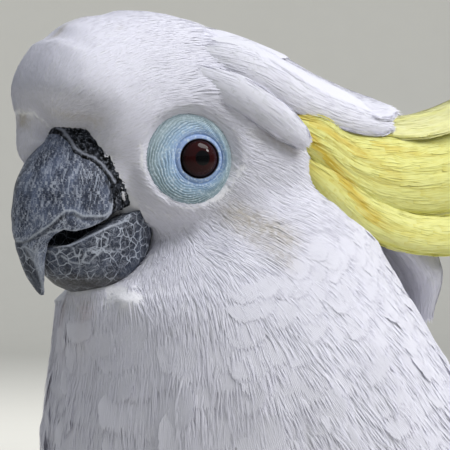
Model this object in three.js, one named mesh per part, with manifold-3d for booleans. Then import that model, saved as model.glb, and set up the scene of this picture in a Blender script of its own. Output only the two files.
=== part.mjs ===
// A white cockatoo standing on both feet, life size, in millimetres, +Z up.
// The bird faces -Y and its left side is +X. Everything is drawn about the
// midpoint between the eyes, and the finished group is then moved so that its
// origin lies on the floor under the middle of the bird.
import * as THREE from 'three';
import { mergeVertices } from 'three/addons/utils/BufferGeometryUtils.js';
import Module from 'manifold-3d';

const wasm = await Module();
wasm.setup();

// Driving dimensions.
const FLOOR = -206;
const CLEARANCE = 0.3;
const KEEP_OUT = 0.4;
const EYE_RADIUS = 6.9;
const EYE_CENTRE = [14.5, 0.9, -0.3];
const EYE_OUTWARD = [0.97, -0.24, 0.05];
const EYE_RING_RADIUS = 10.9;
const EYE_RING_SET_FORWARD = 2.4;
const EYE_RING_HEIGHT = 4.2;
const STANCE_HALF_WIDTH = 26;
const FOOT_Y = 72;
const PAD_RADIUS = 7;
const PAD_HALF_HEIGHT = 5;
const PAD_LIFT = 3.4;
const TOE_RADIUS = 3.1;
const TOE_LIFT = 2.5;
const CLAW_RADIUS = 2.1;
const TAIL_SPLIT = 9.5;
const FAR = 800;
const FEATHER_MESH = { sides: 7, steps: 6 };
const HEAD_MESH = { sides: 20, steps: 15 };
const BODY_MESH = { sides: 18, steps: 18 };

const finishes = {
  feather: { color: 0xf2f2f4, roughness: 0.85 },
  plume: { color: 0xe9e59a, roughness: 0.8 },
  bill: { color: 0x474b55, roughness: 0.6 },
  cere: { color: 0x2c2c30, roughness: 0.85 },
  bareSkin: { color: 0xa3c3da, roughness: 0.7 },
  eye: { color: 0x3a1416, roughness: 0.05 },
  footSkin: { color: 0x4b4c50, roughness: 0.8 },
  claw: { color: 0x26262a, roughness: 0.45 },
};

const cockatoo = new THREE.Group();

// Closed bodies from three.js geometry, and back again after a cut.
function solidOf(geometry) {
  const bare = geometry.clone();
  bare.deleteAttribute('normal');
  bare.deleteAttribute('uv');
  const merged = mergeVertices(bare, 1e-4);
  const mesh = new wasm.Mesh({
    numProp: 3,
    vertProperties: Float32Array.from(merged.attributes.position.array),
    triVerts: Uint32Array.from(merged.index.array),
  });
  return new wasm.Manifold(mesh);
}

function geometryOf(solid) {
  const mesh = solid.getMesh();
  const geometry = new THREE.BufferGeometry();
  geometry.setAttribute('position', new THREE.BufferAttribute(mesh.vertProperties, 3));
  geometry.setIndex(new THREE.BufferAttribute(mesh.triVerts, 1));
  geometry.computeVertexNormals();
  return geometry;
}

function largestBody(solid) {
  const bodies = solid.decompose();
  return bodies.reduce((best, body) => (body.volume() > best.volume() ? body : best));
}

function clearOf(solid, ...others) {
  const cut = others.reduce((rest, other) => rest.subtract(other), solid);
  return largestBody(cut);
}

function flipped(geometry) {
  const index = geometry.index.array;
  for (let i = 0; i < index.length; i += 3) {
    [index[i], index[i + 1]] = [index[i + 1], index[i]];
  }
  return geometry;
}

function addNode(name, finish, solid) {
  const material = new THREE.MeshStandardMaterial({ ...finishes[finish], metalness: 0 });
  const mesh = new THREE.Mesh(geometryOf(solid), material);
  mesh.name = name;
  cockatoo.add(mesh);
}

function addPair(name, finish, solid) {
  addNode(name.replace('SIDE', 'left'), finish, solid);
  addNode(name.replace('SIDE', 'right'), finish, solid.mirror([1, 0, 0]));
}

// A skinned tube: rings of points, spaced by smooth curves through the stations.
// Each station has a centre, two half-axis vectors, and may have a squareness
// (2 is an ellipse) and a sag that bows the ring's wide axis towards -B.
function sweep(stations, { sides = 16, steps = 12, grow = 0 } = {}) {
  const curve = (pick) => new THREE.CatmullRomCurve3(stations.map(pick));
  const centres = curve((s) => new THREE.Vector3(...s.at));
  const wides = curve((s) => new THREE.Vector3(...s.a));
  const thicks = curve((s) => new THREE.Vector3(...s.b));
  const extras = curve((s) => new THREE.Vector3(s.power ?? 2, s.sag ?? 0, 0));
  const tube = new THREE.CylinderGeometry(1, 1, 1, sides, steps);
  const position = tube.attributes.position;
  for (let i = 0; i < position.count; i += 1) {
    const across = position.getX(i);
    const through = position.getZ(i);
    const along = THREE.MathUtils.clamp(0.5 - position.getY(i), 0, 1);
    const { x: power, y: sag } = extras.getPoint(along);
    const wide = wides.getPoint(along);
    const thick = thicks.getPoint(along);
    const square = (Math.abs(across) ** power + Math.abs(through) ** power) ** (-1 / power);
    const round = across || through ? square * Math.hypot(across, through) : 0;
    const reach = across * round * (wide.length() + grow);
    const rise = through * round * (thick.length() + grow);
    const bow = sag * (reach / wide.length()) ** 2;
    const point = centres.getPoint(along);
    point.addScaledVector(wide.normalize(), reach);
    point.addScaledVector(thick.normalize(), rise - bow);
    if (along === 0) point.addScaledVector(centres.getTangent(0), -grow);
    if (along === 1) point.addScaledVector(centres.getTangent(1), grow);
    position.setXYZ(i, ...point);
  }
  const solid = solidOf(tube);
  return solid.volume() < 0 ? solidOf(flipped(tube)) : solid;
}

// A body ring from a front point to a back point in the middle plane.
function ring([frontY, frontZ], [backY, backZ], halfWidth, power = 2) {
  return {
    at: [0, (frontY + backY) / 2, (frontZ + backZ) / 2],
    a: [halfWidth, 0, 0],
    b: [0, (backY - frontY) / 2, (backZ - frontZ) / 2],
    power,
  };
}

function halfSpace([y, z], degrees, offset = 0) {
  const box = new THREE.BoxGeometry(FAR, FAR, FAR);
  box.translate(0, 0, FAR / 2 + offset);
  box.rotateX(THREE.MathUtils.degToRad(degrees));
  box.translate(0, y, z);
  return solidOf(box);
}

// The part of a solid above and below a cut that slopes by some degrees.
function partAt(solid, point, degrees) {
  return {
    above: largestBody(solid.intersect(halfSpace(point, degrees, CLEARANCE / 2))),
    below: largestBody(solid.subtract(halfSpace(point, degrees, -CLEARANCE / 2))),
  };
}

// An outline in the middle plane, as [y, z] points, made into a plate across X.
function plateAcross(points, halfWidth) {
  const outline = new THREE.Shape(points.map(([y, z]) => new THREE.Vector2(y, z)));
  const plate = new THREE.ExtrudeGeometry(outline, { depth: 2 * halfWidth, bevelEnabled: false });
  plate.translate(0, 0, -halfWidth);
  plate.rotateY(Math.PI / 2);
  plate.rotateX(Math.PI / 2);
  return solidOf(plate);
}

const lyingOnFloor = halfSpace([0, FLOOR], 0);

// Head, neck and trunk.
const headRings = [
  ring([-37.6, 10.5], [-37.8, 16.5], 5),
  ring([-35.4, 5.5], [-36.4, 21.5], 10.5, 2.1),
  ring([-31.0, 2.5], [-32.0, 28.0], 15.3, 2.1),
  ring([-24.0, -3], [-25.5, 32.8], 17.2),
  ring([-17, -10], [-16, 35.4], 17.6),
  ring([-8, -20], [-5, 36.3], 19.4),
  ring([4, -26], [8, 34.3], 22.3, 2.2),
  ring([15, -30], [20, 28.8], 24.8, 2.3),
  ring([26, -30], [31, 22.6], 24.2, 2.3),
  ring([35, -25], [39, 15], 19.5, 2.2),
  ring([43, -15], [44, 6], 11.5),
  ring([47, -8], [47, -1], 4),
];
const bodyRings = [
  ring([-2, -10], [38, 6], 21),
  ring([-9, -24], [56, -12], 30),
  ring([-25.5, -34.5], [67, -27], 37),
  ring([-25, -47], [78, -45], 43),
  ring([-27, -60], [88, -58], 46),
  ring([-28, -74], [99, -70], 47.5),
  ring([-26, -94], [116, -83], 48.5),
  ring([-15, -118], [137, -95], 49),
  ring([9, -140], [159, -106.5], 48),
  ring([42, -155], [181, -117.5], 45),
  ring([85, -160], [200, -127.5], 38),
  ring([125, -157], [216, -136], 29),
  ring([160, -153], [228, -143], 18),
  ring([190, -151], [236, -149], 7),
];

// Bill: a dome with a hooked tip over a scoop, both open a little at the mouth.
function bowl(rings, grow) {
  return sweep(rings, { sides: 14, steps: 12, grow });
}
const upperRings = [
  ring([-27, 10.5], [-17, 10.5], 4),
  ring([-29.5, 8.6], [-13, 8.6], 6.5),
  ring([-32.6, 4.2], [-10, 4.2], 10.2),
  ring([-37.0, -1.2], [-8, -1.2], 12.2),
  ring([-39.7, -6.4], [-8, -6.4], 12.8),
  ring([-41.0, -12.7], [-8, -12.7], 12.2),
  ring([-41.1, -17], [-12, -17], 10.8),
  ring([-40.6, -20.3], [-29, -20.3], 6),
  ring([-39.8, -24], [-31.5, -24], 4.2),
  ring([-37.9, -28.9], [-32, -28.9], 2.8),
  ring([-35.2, -32.6], [-32.2, -32.6], 1.4),
  ring([-34.2, -33.6], [-33.0, -33.6], 0.6),
];
const upperMouth = [
  [-33.4, -60], [-33.6, -33.4], [-34.4, -31], [-35.2, -26], [-35.5, -21],
  [-35.0, -18.8], [-33.4, -17.4], [-30.4, -17.9], [-26.6, -16.9], [-22.8, -15.2],
  [-20.5, -13.3], [-16, -11.7], [0, -8], [0, -60],
];
const palate = [
  [-34.5, -30], [-34.8, -20], [-31, -13.5], [-26, -11.5], [-12, -9], [-12, -30],
];
const lowerRings = [
  ring([-36.0, -12], [-4, -6], 12.3, 2.3),
  ring([-36.0, -17], [-4, -12], 12.3, 2.3),
  ring([-35.2, -22], [-4, -18], 12.0, 2.3),
  ring([-32.6, -27.2], [-5, -24], 11.0, 2.3),
  ring([-28.4, -31.2], [-8, -29], 8.6, 2.2),
  ring([-22, -33.8], [-13, -33], 3.5),
];
const lowerMouth = [
  [-60, -21.9], [-34.8, -21.9], [-31.2, -21.2], [-28.3, -20.0], [-22.8, -17.0],
  [-16, -13.6], [0, -9.6], [0, 40], [-60, 40],
];
const scoop = [
  [-32.5, -18], [-31.5, -24], [-27, -27], [-20, -27], [-14, -23], [-12, -10],
];
const CERE_LINE = { point: [-26.8, -2.8], degrees: -54 };

const upperDome = bowl(upperRings, 0)
  .subtract(plateAcross(upperMouth, 30))
  .subtract(plateAcross(palate, 7));
const lowerBowl = bowl(lowerRings, 0)
  .subtract(plateAcross(lowerMouth, 30))
  .subtract(plateAcross(scoop, 7));
const billKeepOut = bowl(upperRings, KEEP_OUT).add(bowl(lowerRings, KEEP_OUT));
const upperParts = partAt(upperDome, CERE_LINE.point, CERE_LINE.degrees);

// Eyes, each in a raised ring of bare skin.
function towardsEye(geometry, origin) {
  const outward = new THREE.Vector3(...EYE_OUTWARD).normalize();
  const turn = new THREE.Quaternion().setFromUnitVectors(new THREE.Vector3(0, 1, 0), outward);
  geometry.applyQuaternion(turn);
  geometry.translate(...origin);
  return solidOf(geometry);
}
function eyeball(radius) {
  return towardsEye(new THREE.SphereGeometry(radius, 12, 8), EYE_CENTRE);
}
const eyeRingProfile = [
  [0, -2], [EYE_RING_RADIUS - 1, -2], [EYE_RING_RADIUS, 0.2], [7, 1.1], [5, 0.9], [0, 0.9],
];
const eyeSocketProfile = [
  [0, -11.9], [9.7, -11.9], [EYE_RING_RADIUS + CLEARANCE, -0.6], [EYE_RING_RADIUS + 3, 7], [0, 7],
];
function atEyeRing(profile) {
  const disc = new THREE.LatheGeometry(profile.map(([r, h]) => new THREE.Vector2(r, h)), 14);
  const outward = new THREE.Vector3(...EYE_OUTWARD).normalize();
  const centre = new THREE.Vector3(...EYE_CENTRE).addScaledVector(outward, EYE_RING_HEIGHT);
  const forward = new THREE.Vector3(0, 0, 1).cross(outward).negate();
  centre.addScaledVector(forward, EYE_RING_SET_FORWARD);
  return towardsEye(disc, centre.toArray());
}
const eyeSolid = eyeball(EYE_RADIUS);
const eyeRingSolid = atEyeRing(eyeRingProfile).subtract(eyeball(EYE_RADIUS + CLEARANCE));
const socket = atEyeRing(eyeSocketProfile);

// Crest: white covering feathers over yellow plumes, from crown to nape.
// A feather station is [centre, half-axis across, half-axis through, sag].
function feather(stations, options) {
  return sweep(stations.map(([at, a, b, sag = 0]) => ({ at, a, b, sag })), options);
}
const crestFeathers = {
  crest_white_middle: { finish: 'feather', stations: [
    [[0, 4, 33.4], [8, 0, 0], [0, 0.2, 1.6], 2],
    [[0, 20, 29.2], [12, 0, 0], [0, 0.7, 1.9], 4],
    [[0, 33, 23.6], [13, 0, 0], [0, 0.9, 1.8], 5],
    [[0, 46, 17.2], [13, 0, 0], [0, 0.7, 1.6], 5],
    [[0, 58, 14.0], [11, 0, 0], [0, 0.3, 1.3], 4],
    [[0, 70, 12.2], [7, 0, 0], [0, 0.2, 0.9], 2],
    [[0, 75, 12.0], [3, 0, 0], [0, 0.1, 0.5], 0],
  ] },
  crest_white_SIDE: { finish: 'feather', stations: [
    [[14.5, 2, 28.3], [2.5, -0.5, -3.5], [1.1, 0.2, 1.0], 0.6],
    [[19.8, 14, 23.6], [2.8, -1, -5.0], [1.3, 0.3, 1.1], 1.2],
    [[20.8, 28, 16.4], [2.6, -1.5, -4.6], [1.3, 0.3, 0.9], 1.4],
    [[17.2, 42, 10.4], [2.4, -1, -4.2], [1.2, 0.2, 0.7], 1.2],
    [[13.5, 56, 7.6], [2.0, 0, -3.4], [0.9, 0.2, 0.5], 0.6],
    [[11.5, 67, 7.4], [0.8, 0, -1.5], [0.5, 0.1, 0.3], 0],
  ] },
  crest_brow_SIDE: { finish: 'feather', stations: [
    [[18.3, -1, 21.0], [0.5, 1.5, 2.5], [1.1, 0, -0.2], 0.2],
    [[23.2, 9, 16.0], [0.5, 2.2, 3.5], [1.5, 0, -0.2], 0.4],
    [[26.0, 19, 9.6], [0.3, 2.3, 3.4], [1.5, 0, -0.2], 0.4],
    [[26.4, 26.5, 4.6], [0.1, 1.6, 2.2], [1.2, 0, -0.2], 0.2],
    [[26.0, 29.5, 2.8], [0.1, 0.6, 0.8], [0.6, 0, -0.1], 0],
  ] },
  crest_yellow_middle: { finish: 'plume', stations: [
    [[0, 42, 14.0], [7, 0, 0], [0, 0.5, 1.0], 2],
    [[0, 58, 10.4], [11, 0, 0], [0, 0.3, 1.1], 4],
    [[0, 74, 10.2], [12, 0, 0], [0, 0, 1.1], 4],
    [[0, 90, 13.4], [11, 0, 0], [0, -0.4, 1.0], 3],
    [[0, 105, 20.0], [8, 0, 0], [0, -0.5, 0.8], 2],
    [[0, 117, 28], [3, 0, 0], [0, -0.4, 0.5], 0],
  ] },
  crest_yellow_SIDE_upper: { finish: 'plume', stations: [
    [[23.2, 24.5, 8.5], [0.2, -1, -2.6], [1.0, 0.2, 0.2], 0.3],
    [[22.4, 34, 4.5], [0.8, -1.5, -5.0], [1.1, 0.4, 0.2], 0.8],
    [[18.5, 48, -0.5], [1.8, 0, -8.0], [1.0, 0.2, 0.2], 1.5],
    [[15.5, 64, -3], [2.0, 0, -9.5], [1.0, 0.2, 0.2], 2],
    [[12.5, 82, -2.5], [2.0, 1, -9.5], [1.0, 0.2, 0.2], 2],
    [[10, 99, 3], [1.6, 2.5, -7], [0.9, 0.2, 0.2], 1.2],
    [[8.5, 113, 11], [0.7, 1.8, -3], [0.6, 0.1, 0.2], 0.3],
  ] },
  crest_yellow_SIDE_lower: { finish: 'plume', stations: [
    [[23.4, 29, 0.5], [0.3, -1, -2.2], [1.0, 0.3, 0.1], 0.3],
    [[22.6, 39, -7.5], [0.9, -2, -4.0], [1.1, 0.4, 0.1], 0.8],
    [[19.8, 53, -14.5], [1.4, -2, -5.0], [1.0, 0.2, 0.1], 1.2],
    [[17.2, 69, -18.5], [1.4, -0.5, -5.0], [1.0, 0.2, 0.1], 1.2],
    [[14.8, 85, -18.5], [1.2, 0.8, -4.5], [0.9, 0.2, 0.1], 1.0],
    [[12.8, 100, -14.5], [0.6, 1.2, -2.8], [0.7, 0.1, 0.1], 0.4],
    [[12.0, 106, -12], [0.3, 0.6, -1.2], [0.5, 0.1, 0.1], 0],
  ] },
  crest_nape: { finish: 'feather', stations: [
    [[0, 42, 0], [9, 0, 0], [0, 1.8, 1.2], 3],
    [[0, 58, -8], [12, 0, 0], [0, 1.7, 1.5], 5],
    [[0, 71, -19], [12, 0, 0], [0, 1.6, 1.1], 5],
    [[0, 80, -31], [9, 0, 0], [0, 1.4, 0.7], 3],
    [[0, 84, -41], [4, 0, 0], [0, 0.8, 0.4], 1],
  ] },
};

// Wing: one long cambered shell along the flank, cut into three feather groups.
// A wing station is [y, z, half height, outer x, lean, half thickness].
const wingStations = [
  [8, -90, 10, 41.5, 0.1, 2],
  [24, -95, 27, 48, 0.2, 3],
  [56, -102, 38, 52.2, 0.3, 3.4],
  [96, -109, 39, 52.2, 0.4, 3.4],
  [138, -118, 34, 47.5, 0.5, 3.2],
  [178, -129, 26, 39, 0.6, 2.8],
  [215, -141, 18, 30, 0.7, 2.4],
  [250, -153, 12, 23, 0.8, 1.9],
  [280, -163, 7, 17, 0.9, 1.4],
  [294, -168, 3, 14.5, 0.9, 0.9],
];
function wing(grow) {
  const stations = wingStations.map(([y, z, half, x, lean, thick]) => {
    const up = new THREE.Vector3(-Math.sin(lean), 0.22, Math.cos(lean)).normalize();
    const out = new THREE.Vector3(Math.cos(lean), 0, Math.sin(lean));
    return {
      at: [x - thick, y, z],
      a: up.multiplyScalar(half).toArray(),
      b: out.multiplyScalar(thick).toArray(),
      sag: half * half / 118,
    };
  });
  return sweep(stations, { sides: 10, steps: 13, grow });
}
const wingParts = partAt(wing(0), [112, -112], 62);
const wingRear = partAt(wingParts.below, [150, -126], -15);

// Tail: a slightly arched fan in three parts, down to just above the floor.
const tailStations = [
  { at: [0, 196, -139], a: [13, 0, 0], b: [0, 0.9, 2.4], sag: 3, power: 2.6 },
  { at: [0, 232, -153], a: [20, 0, 0], b: [0, 0.9, 2.4], sag: 4, power: 2.8 },
  { at: [0, 275, -170], a: [26, 0, 0], b: [0, 0.8, 2.0], sag: 4, power: 3 },
  { at: [0, 320, -187.5], a: [30, 0, 0], b: [0, 0.6, 1.6], sag: 4, power: 3 },
  { at: [0, 342, -196], a: [27, 0, 0], b: [0, 0.5, 1.3], sag: 3, power: 3 },
  { at: [0, 350, -199], a: [17, 0, 0], b: [0, 0.3, 0.8], sag: 1, power: 2.6 },
];
function tail(grow) {
  return sweep(tailStations, { sides: 12, steps: 6, grow });
}
function slabAcross(fromX, toX) {
  const slab = new THREE.BoxGeometry(toX - fromX, FAR, FAR);
  slab.translate((fromX + toX) / 2, 0, 0);
  return solidOf(slab);
}

// Legs and feet: two toes forward and two back on each foot.
function limb(points, options) {
  const centres = points.map(([x, y, z]) => new THREE.Vector3(x, y, z));
  const stations = points.map(([x, y, z, radius], i) => {
    const before = centres[Math.max(i - 1, 0)];
    const after = centres[Math.min(i + 1, centres.length - 1)];
    const along = after.clone().sub(before).normalize();
    const across = new THREE.Vector3(0, 0, 1).cross(along).normalize();
    const through = along.clone().cross(across).normalize();
    return {
      at: [x, y, z],
      a: across.multiplyScalar(radius).toArray(),
      b: through.multiplyScalar(radius).toArray(),
    };
  });
  return sweep(stations, options);
}
function thigh(grow) {
  const points = [
    [23, 74, -138, 19], [25, 80, -152, 18.5], [26, 86, -166, 14],
    [26, 91, -178, 8.6], [26, 93.5, -185, 5.6],
  ];
  return limb(points, { sides: 12, steps: 5, grow });
}
function footPad(grow) {
  const pad = new THREE.SphereGeometry(1, 10, 6);
  pad.rotateX(Math.PI / 2);
  pad.scale(PAD_RADIUS + grow, PAD_RADIUS + grow, PAD_HALF_HEIGHT + grow);
  pad.translate(STANCE_HALF_WIDTH, FOOT_Y, FLOOR + PAD_LIFT);
  return solidOf(pad);
}
function shank(grow) {
  const points = [
    [26, 94, -182.5, 3.4], [26, 92.5, -186, 4.3], [26, 87, -190.5, 3.5],
    [26, 80, -196, 3.4], [26, 74, -201, 4.2],
  ];
  return limb(points, { sides: 8, steps: 6, grow });
}
// A toe is [side of the pad, forward or back, reach across, reach along, claw].
const toes = {
  1: { across: -1, along: 1, reach: [-7, 19], claw: 10 },
  2: { across: -1, along: -1, reach: [-6, 27], claw: 12 },
  3: { across: 1, along: -1, reach: [6, 39], claw: 14 },
  4: { across: 1, along: 1, reach: [9, 32], claw: 13 },
};
function toeLine({ across, along, reach }) {
  const start = new THREE.Vector3(STANCE_HALF_WIDTH + 3.7 * across, FOOT_Y + 3.5 * along, 0);
  const end = new THREE.Vector3(
    STANCE_HALF_WIDTH + 3.7 * across + reach[0],
    FOOT_Y + along * reach[1],
    0,
  );
  return { start, end, heading: end.clone().sub(start).normalize() };
}
function toe(shape, grow) {
  const { start, end } = toeLine(shape);
  const swell = [1, 0.94, 1.04, 0.9, 1, 0.86, 0.94, 0.6];
  const points = swell.map((factor, i) => {
    const at = start.clone().lerp(end, i / (swell.length - 1));
    return [at.x, at.y, FLOOR + TOE_LIFT, TOE_RADIUS * factor];
  });
  return limb(points, { sides: 6, steps: 5, grow });
}
function claw(shape) {
  const { end, heading } = toeLine(shape);
  const profile = [
    [-2, 2.9, 1], [1.5, 3.9, 0.98], [0.42 * shape.claw, 4.3, 0.8],
    [0.75 * shape.claw, 3.2, 0.52], [shape.claw - 1, 0.9, 0.2],
  ];
  const points = profile.map(([reach, lift, factor]) => {
    const at = end.clone().addScaledVector(heading, reach);
    return [at.x, at.y, FLOOR + lift, CLAW_RADIUS * factor];
  });
  return limb(points, { sides: 5, steps: 4 });
}

// Cut the pieces clear of each other and name them.
function headAndBody(grow) {
  return sweep(headRings, { ...HEAD_MESH, grow }).add(sweep(bodyRings, { ...BODY_MESH, grow }));
}
const leftWing = wing(KEEP_OUT);
const bothWings = leftWing.add(leftWing.mirror([1, 0, 0]));
const bothSockets = socket.add(socket.mirror([1, 0, 0]));
const flesh = clearOf(headAndBody(0), billKeepOut, bothSockets, bothWings, tail(KEEP_OUT));
const headCut = partAt(flesh, [10, -24], 20);
const neckCut = partAt(headCut.below, [30, -64], 12);
addNode('head', 'feather', headCut.above);
addNode('neck', 'feather', neckCut.above);
addNode('trunk', 'feather', neckCut.below);

let crestKeepOut = headAndBody(KEEP_OUT);
for (const [name, { finish, stations }] of Object.entries(crestFeathers)) {
  const solid = clearOf(feather(stations, FEATHER_MESH), crestKeepOut);
  const taken = feather(stations, { ...FEATHER_MESH, grow: KEEP_OUT });
  crestKeepOut = crestKeepOut.add(taken);
  if (name.includes('SIDE')) {
    crestKeepOut = crestKeepOut.add(taken.mirror([1, 0, 0]));
    addPair(name, finish, solid);
  } else {
    addNode(name, finish, solid);
  }
}

addNode('bill_upper', 'bill', upperParts.below);
addNode('cere', 'cere', upperParts.above);
addNode('bill_lower', 'bill', largestBody(lowerBowl));
addPair('eye_SIDE', 'eye', eyeSolid);
addPair('eye_ring_SIDE', 'bareSkin', eyeRingSolid);

addPair('wing_SIDE_coverts', 'feather', wingParts.above);
addPair('wing_SIDE_secondaries', 'feather', wingRear.above);
addPair('wing_SIDE_primaries', 'feather', wingRear.below);

const wholeTail = clearOf(tail(0), bothWings);
addNode('tail_middle', 'feather', wholeTail.intersect(slabAcross(-TAIL_SPLIT, TAIL_SPLIT)));
addPair('tail_SIDE', 'feather', wholeTail.intersect(slabAcross(TAIL_SPLIT + CLEARANCE, 60)));

const trunkKeepOut = sweep(bodyRings, { ...BODY_MESH, grow: KEEP_OUT });
const shankSolid = shank(0).add(footPad(0)).intersect(lyingOnFloor);
const shankKeepOut = shank(KEEP_OUT).add(footPad(KEEP_OUT));
addPair('thigh_SIDE', 'feather', clearOf(thigh(0), trunkKeepOut, shankKeepOut, leftWing));
addPair('shank_SIDE', 'footSkin', shankSolid);
for (const [number, shape] of Object.entries(toes)) {
  const toeSolid = clearOf(toe(shape, 0), shankKeepOut).intersect(lyingOnFloor);
  addPair(`toe_SIDE_${number}`, 'footSkin', toeSolid);
  addPair(`claw_SIDE_${number}`, 'claw', clearOf(claw(shape), toe(shape, KEEP_OUT)));
}

// The origin is on the floor, under the middle of the bird's outline.
const outline = new THREE.Box3().setFromObject(cockatoo);
const middle = outline.getCenter(new THREE.Vector3());
cockatoo.position.set(-middle.x, -middle.y, -outline.min.z);
cockatoo.updateMatrixWorld(true);

export default cockatoo;
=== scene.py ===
"""Plumage, bill, eyes, feet and studio for a life-size white cockatoo."""

import math

import bmesh
import bpy
import numpy as np
from bpy.props import FloatProperty, FloatVectorProperty, IntProperty, PointerProperty
from mathutils import Matrix, Vector
from mathutils.bvhtree import BVHTree
from mathutils.kdtree import KDTree


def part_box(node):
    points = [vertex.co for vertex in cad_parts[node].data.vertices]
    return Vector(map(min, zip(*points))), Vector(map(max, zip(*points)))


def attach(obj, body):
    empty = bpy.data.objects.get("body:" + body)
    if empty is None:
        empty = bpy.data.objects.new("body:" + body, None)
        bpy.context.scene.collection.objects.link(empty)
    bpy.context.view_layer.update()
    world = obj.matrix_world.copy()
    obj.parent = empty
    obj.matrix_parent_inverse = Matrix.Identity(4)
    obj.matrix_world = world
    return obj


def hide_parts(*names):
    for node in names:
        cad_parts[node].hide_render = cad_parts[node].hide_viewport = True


bl_info = {
    "name": "White Cockatoo",
    "version": (1, 0, 0),
    "blender": (4, 5, 0),
    "location": "View3D > Sidebar > Cockatoo",
    "description": "Dresses the frame of a standing white cockatoo",
    "category": "Add Mesh",
}

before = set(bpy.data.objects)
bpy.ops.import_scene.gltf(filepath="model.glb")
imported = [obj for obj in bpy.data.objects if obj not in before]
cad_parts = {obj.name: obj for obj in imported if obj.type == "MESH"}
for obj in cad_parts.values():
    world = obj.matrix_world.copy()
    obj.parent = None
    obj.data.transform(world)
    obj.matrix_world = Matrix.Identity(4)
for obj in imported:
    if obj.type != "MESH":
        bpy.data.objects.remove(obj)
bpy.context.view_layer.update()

MM = 0.001
BODY = "root"
SIDES = {"left": 1, "right": -1}

# Sizes are in millimetres about the midpoint between the eyes: the bird faces
# -Y, its left side is +X.
EYE_CENTRE = np.array([14.5, 0.9, -0.3])
EYE_RADIUS = 6.9
EYE_AXIS = np.array([0.97, -0.24, 0.05])
EYE_AXIS = EYE_AXIS / np.linalg.norm(EYE_AXIS)
EYE_FORWARD = np.cross(EYE_AXIS, [0.0, 0.0, 1.0])
EYE_FORWARD = EYE_FORWARD / np.linalg.norm(EYE_FORWARD)
EYE_UP = np.cross(EYE_FORWARD, EYE_AXIS)
RING_SET_FORWARD = 2.4
ORIGIN = np.mean([np.array(corner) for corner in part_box("eye_left")], axis=0) - MM * EYE_CENTRE

# Height of the middle of the eye rings above the floor, in metres.
RING_MIDDLE = ORIGIN[2]

FLESH_NODES = [
    "head", "neck", "trunk", "thigh_left", "thigh_right",
    "wing_left_coverts", "wing_right_coverts",
]
# Grain of the surfaces joined from shells, in millimetres.
SKIN_VOXEL, HORN_VOXEL, CERE_VOXEL, FOOT_VOXEL = 1.25, 0.26, 0.3, 0.45


def linear(code):
    """An sRGB hex colour as linear red, green and blue."""
    channels = [int(code[i:i + 2], 16) / 255 for i in (1, 3, 5)]
    return tuple(c / 12.92 if c <= 0.04045 else ((c + 0.055) / 1.055) ** 2.4 for c in channels)


def rgba(colour):
    return (*colour, 1.0)


def paint(code):
    """An sRGB hex colour for a shader socket."""
    return rgba(linear(code))


def unit(vectors):
    vectors = np.asarray(vectors, float)
    return vectors / np.maximum(np.linalg.norm(vectors, axis=-1, keepdims=True), 1e-9)


def smooth_step(low, high, value):
    t = np.clip((value - low) / (high - low), 0, 1)
    return t * t * (3 - 2 * t)


def view_axes(azimuth):
    """Level ways to the right of the picture and towards the camera."""
    turn = math.radians(azimuth)
    return (np.array([math.cos(turn), math.sin(turn), 0.0]),
            np.array([math.sin(turn), -math.cos(turn), 0.0]))


# The camera stands this many degrees round from the front; the picture is this many
# pixels wide, each so many millimetres at the head.
VIEW_AZIMUTH = 55.0
PICTURE_WIDTH = 450
PIXEL = 0.245
VIEW_RIGHT, VIEW_TOWARDS = view_axes(VIEW_AZIMUTH)
# The middle of the picture: across the view, towards the camera, and up.
PICTURE_CENTRE = (17.09, 18.0, -16.375)
SENSOR = 36


def to_world(points):
    return ORIGIN + MM * np.asarray(points, float)


def to_eye_frame(points):
    return (np.asarray(points, float) - ORIGIN) / MM


# ---------------------------------------------------------------- settings

def colour_setting(name, description, code):
    """A colour for a group of settings, from its sRGB hex code."""
    return FloatVectorProperty(name=name, description=description, subtype="COLOR", size=3,
                               default=linear(code))


class PlumageSettings(bpy.types.PropertyGroup):
    """Sizes and colours of the feathers."""

    # The white feathers' lit colour and their shade colour, which is painted shade towards each
    # feather's root; the skin mottles its down with the shade colour too.
    white: colour_setting("White", "Lit colour of the white feathers", "#f0eff8")
    shade: colour_setting("Shade", "Colour of the down under the white feathers", "#e6e6ec")
    yellow: colour_setting("Yellow", "Colour of the crest plumes", "#f0ef9c")
    # Deep yellow is partly the plumes' own gold at their roots and partly painted shade there, in their
    # grooves and along their golden streaks.
    deep_yellow: colour_setting("Deep yellow", "Colour at the roots of the crest plumes", "#dcc040")
    skin: colour_setting("Skin", "Colour of the skin under the feathers", "#efedf1")
    face_spacing: FloatProperty(
        name="Face tuft spacing", description="Distance between face tufts in millimetres",
        default=0.66, min=0.4, max=3)
    neck_spacing: FloatProperty(
        name="Neck feather spacing", description="Distance between neck feathers in millimetres",
        default=6.0, min=1.5, max=12)
    body_spacing: FloatProperty(
        name="Body feather spacing", description="Distance between body feathers in millimetres",
        default=7.2, min=3, max=20)
    seed: IntProperty(
        name="Seed", description="Start of the random draws", default=7, min=0)


class FaceSettings(bpy.types.PropertyGroup):
    """Colours of the bill, the eyes and the bare skin."""

    horn: colour_setting("Horn", "Colour of the bill", "#67728c")
    powder: colour_setting("Powder", "Colour of powder and flaked horn on the bill", "#868fa5")
    dark_horn: colour_setting("Dark horn", "Colour of the cracks and the cere", "#1d1e22")
    ring_inner: colour_setting("Lid blue", "Colour of the skin next to the eye", "#97aedb")
    ring_outer: colour_setting("Ring blue", "Colour of the outer part of the eye ring", "#adc0c8")
    iris: colour_setting("Iris", "Colour of the iris", "#2b0909")
    pupil_radius: FloatProperty(
        name="Pupil radius", description="Radius of the pupil in millimetres",
        default=1.75, min=0.5, max=4)
    iris_radius: FloatProperty(
        name="Iris radius", description="Radius of the iris in millimetres",
        default=4.6, min=2, max=6)


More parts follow.
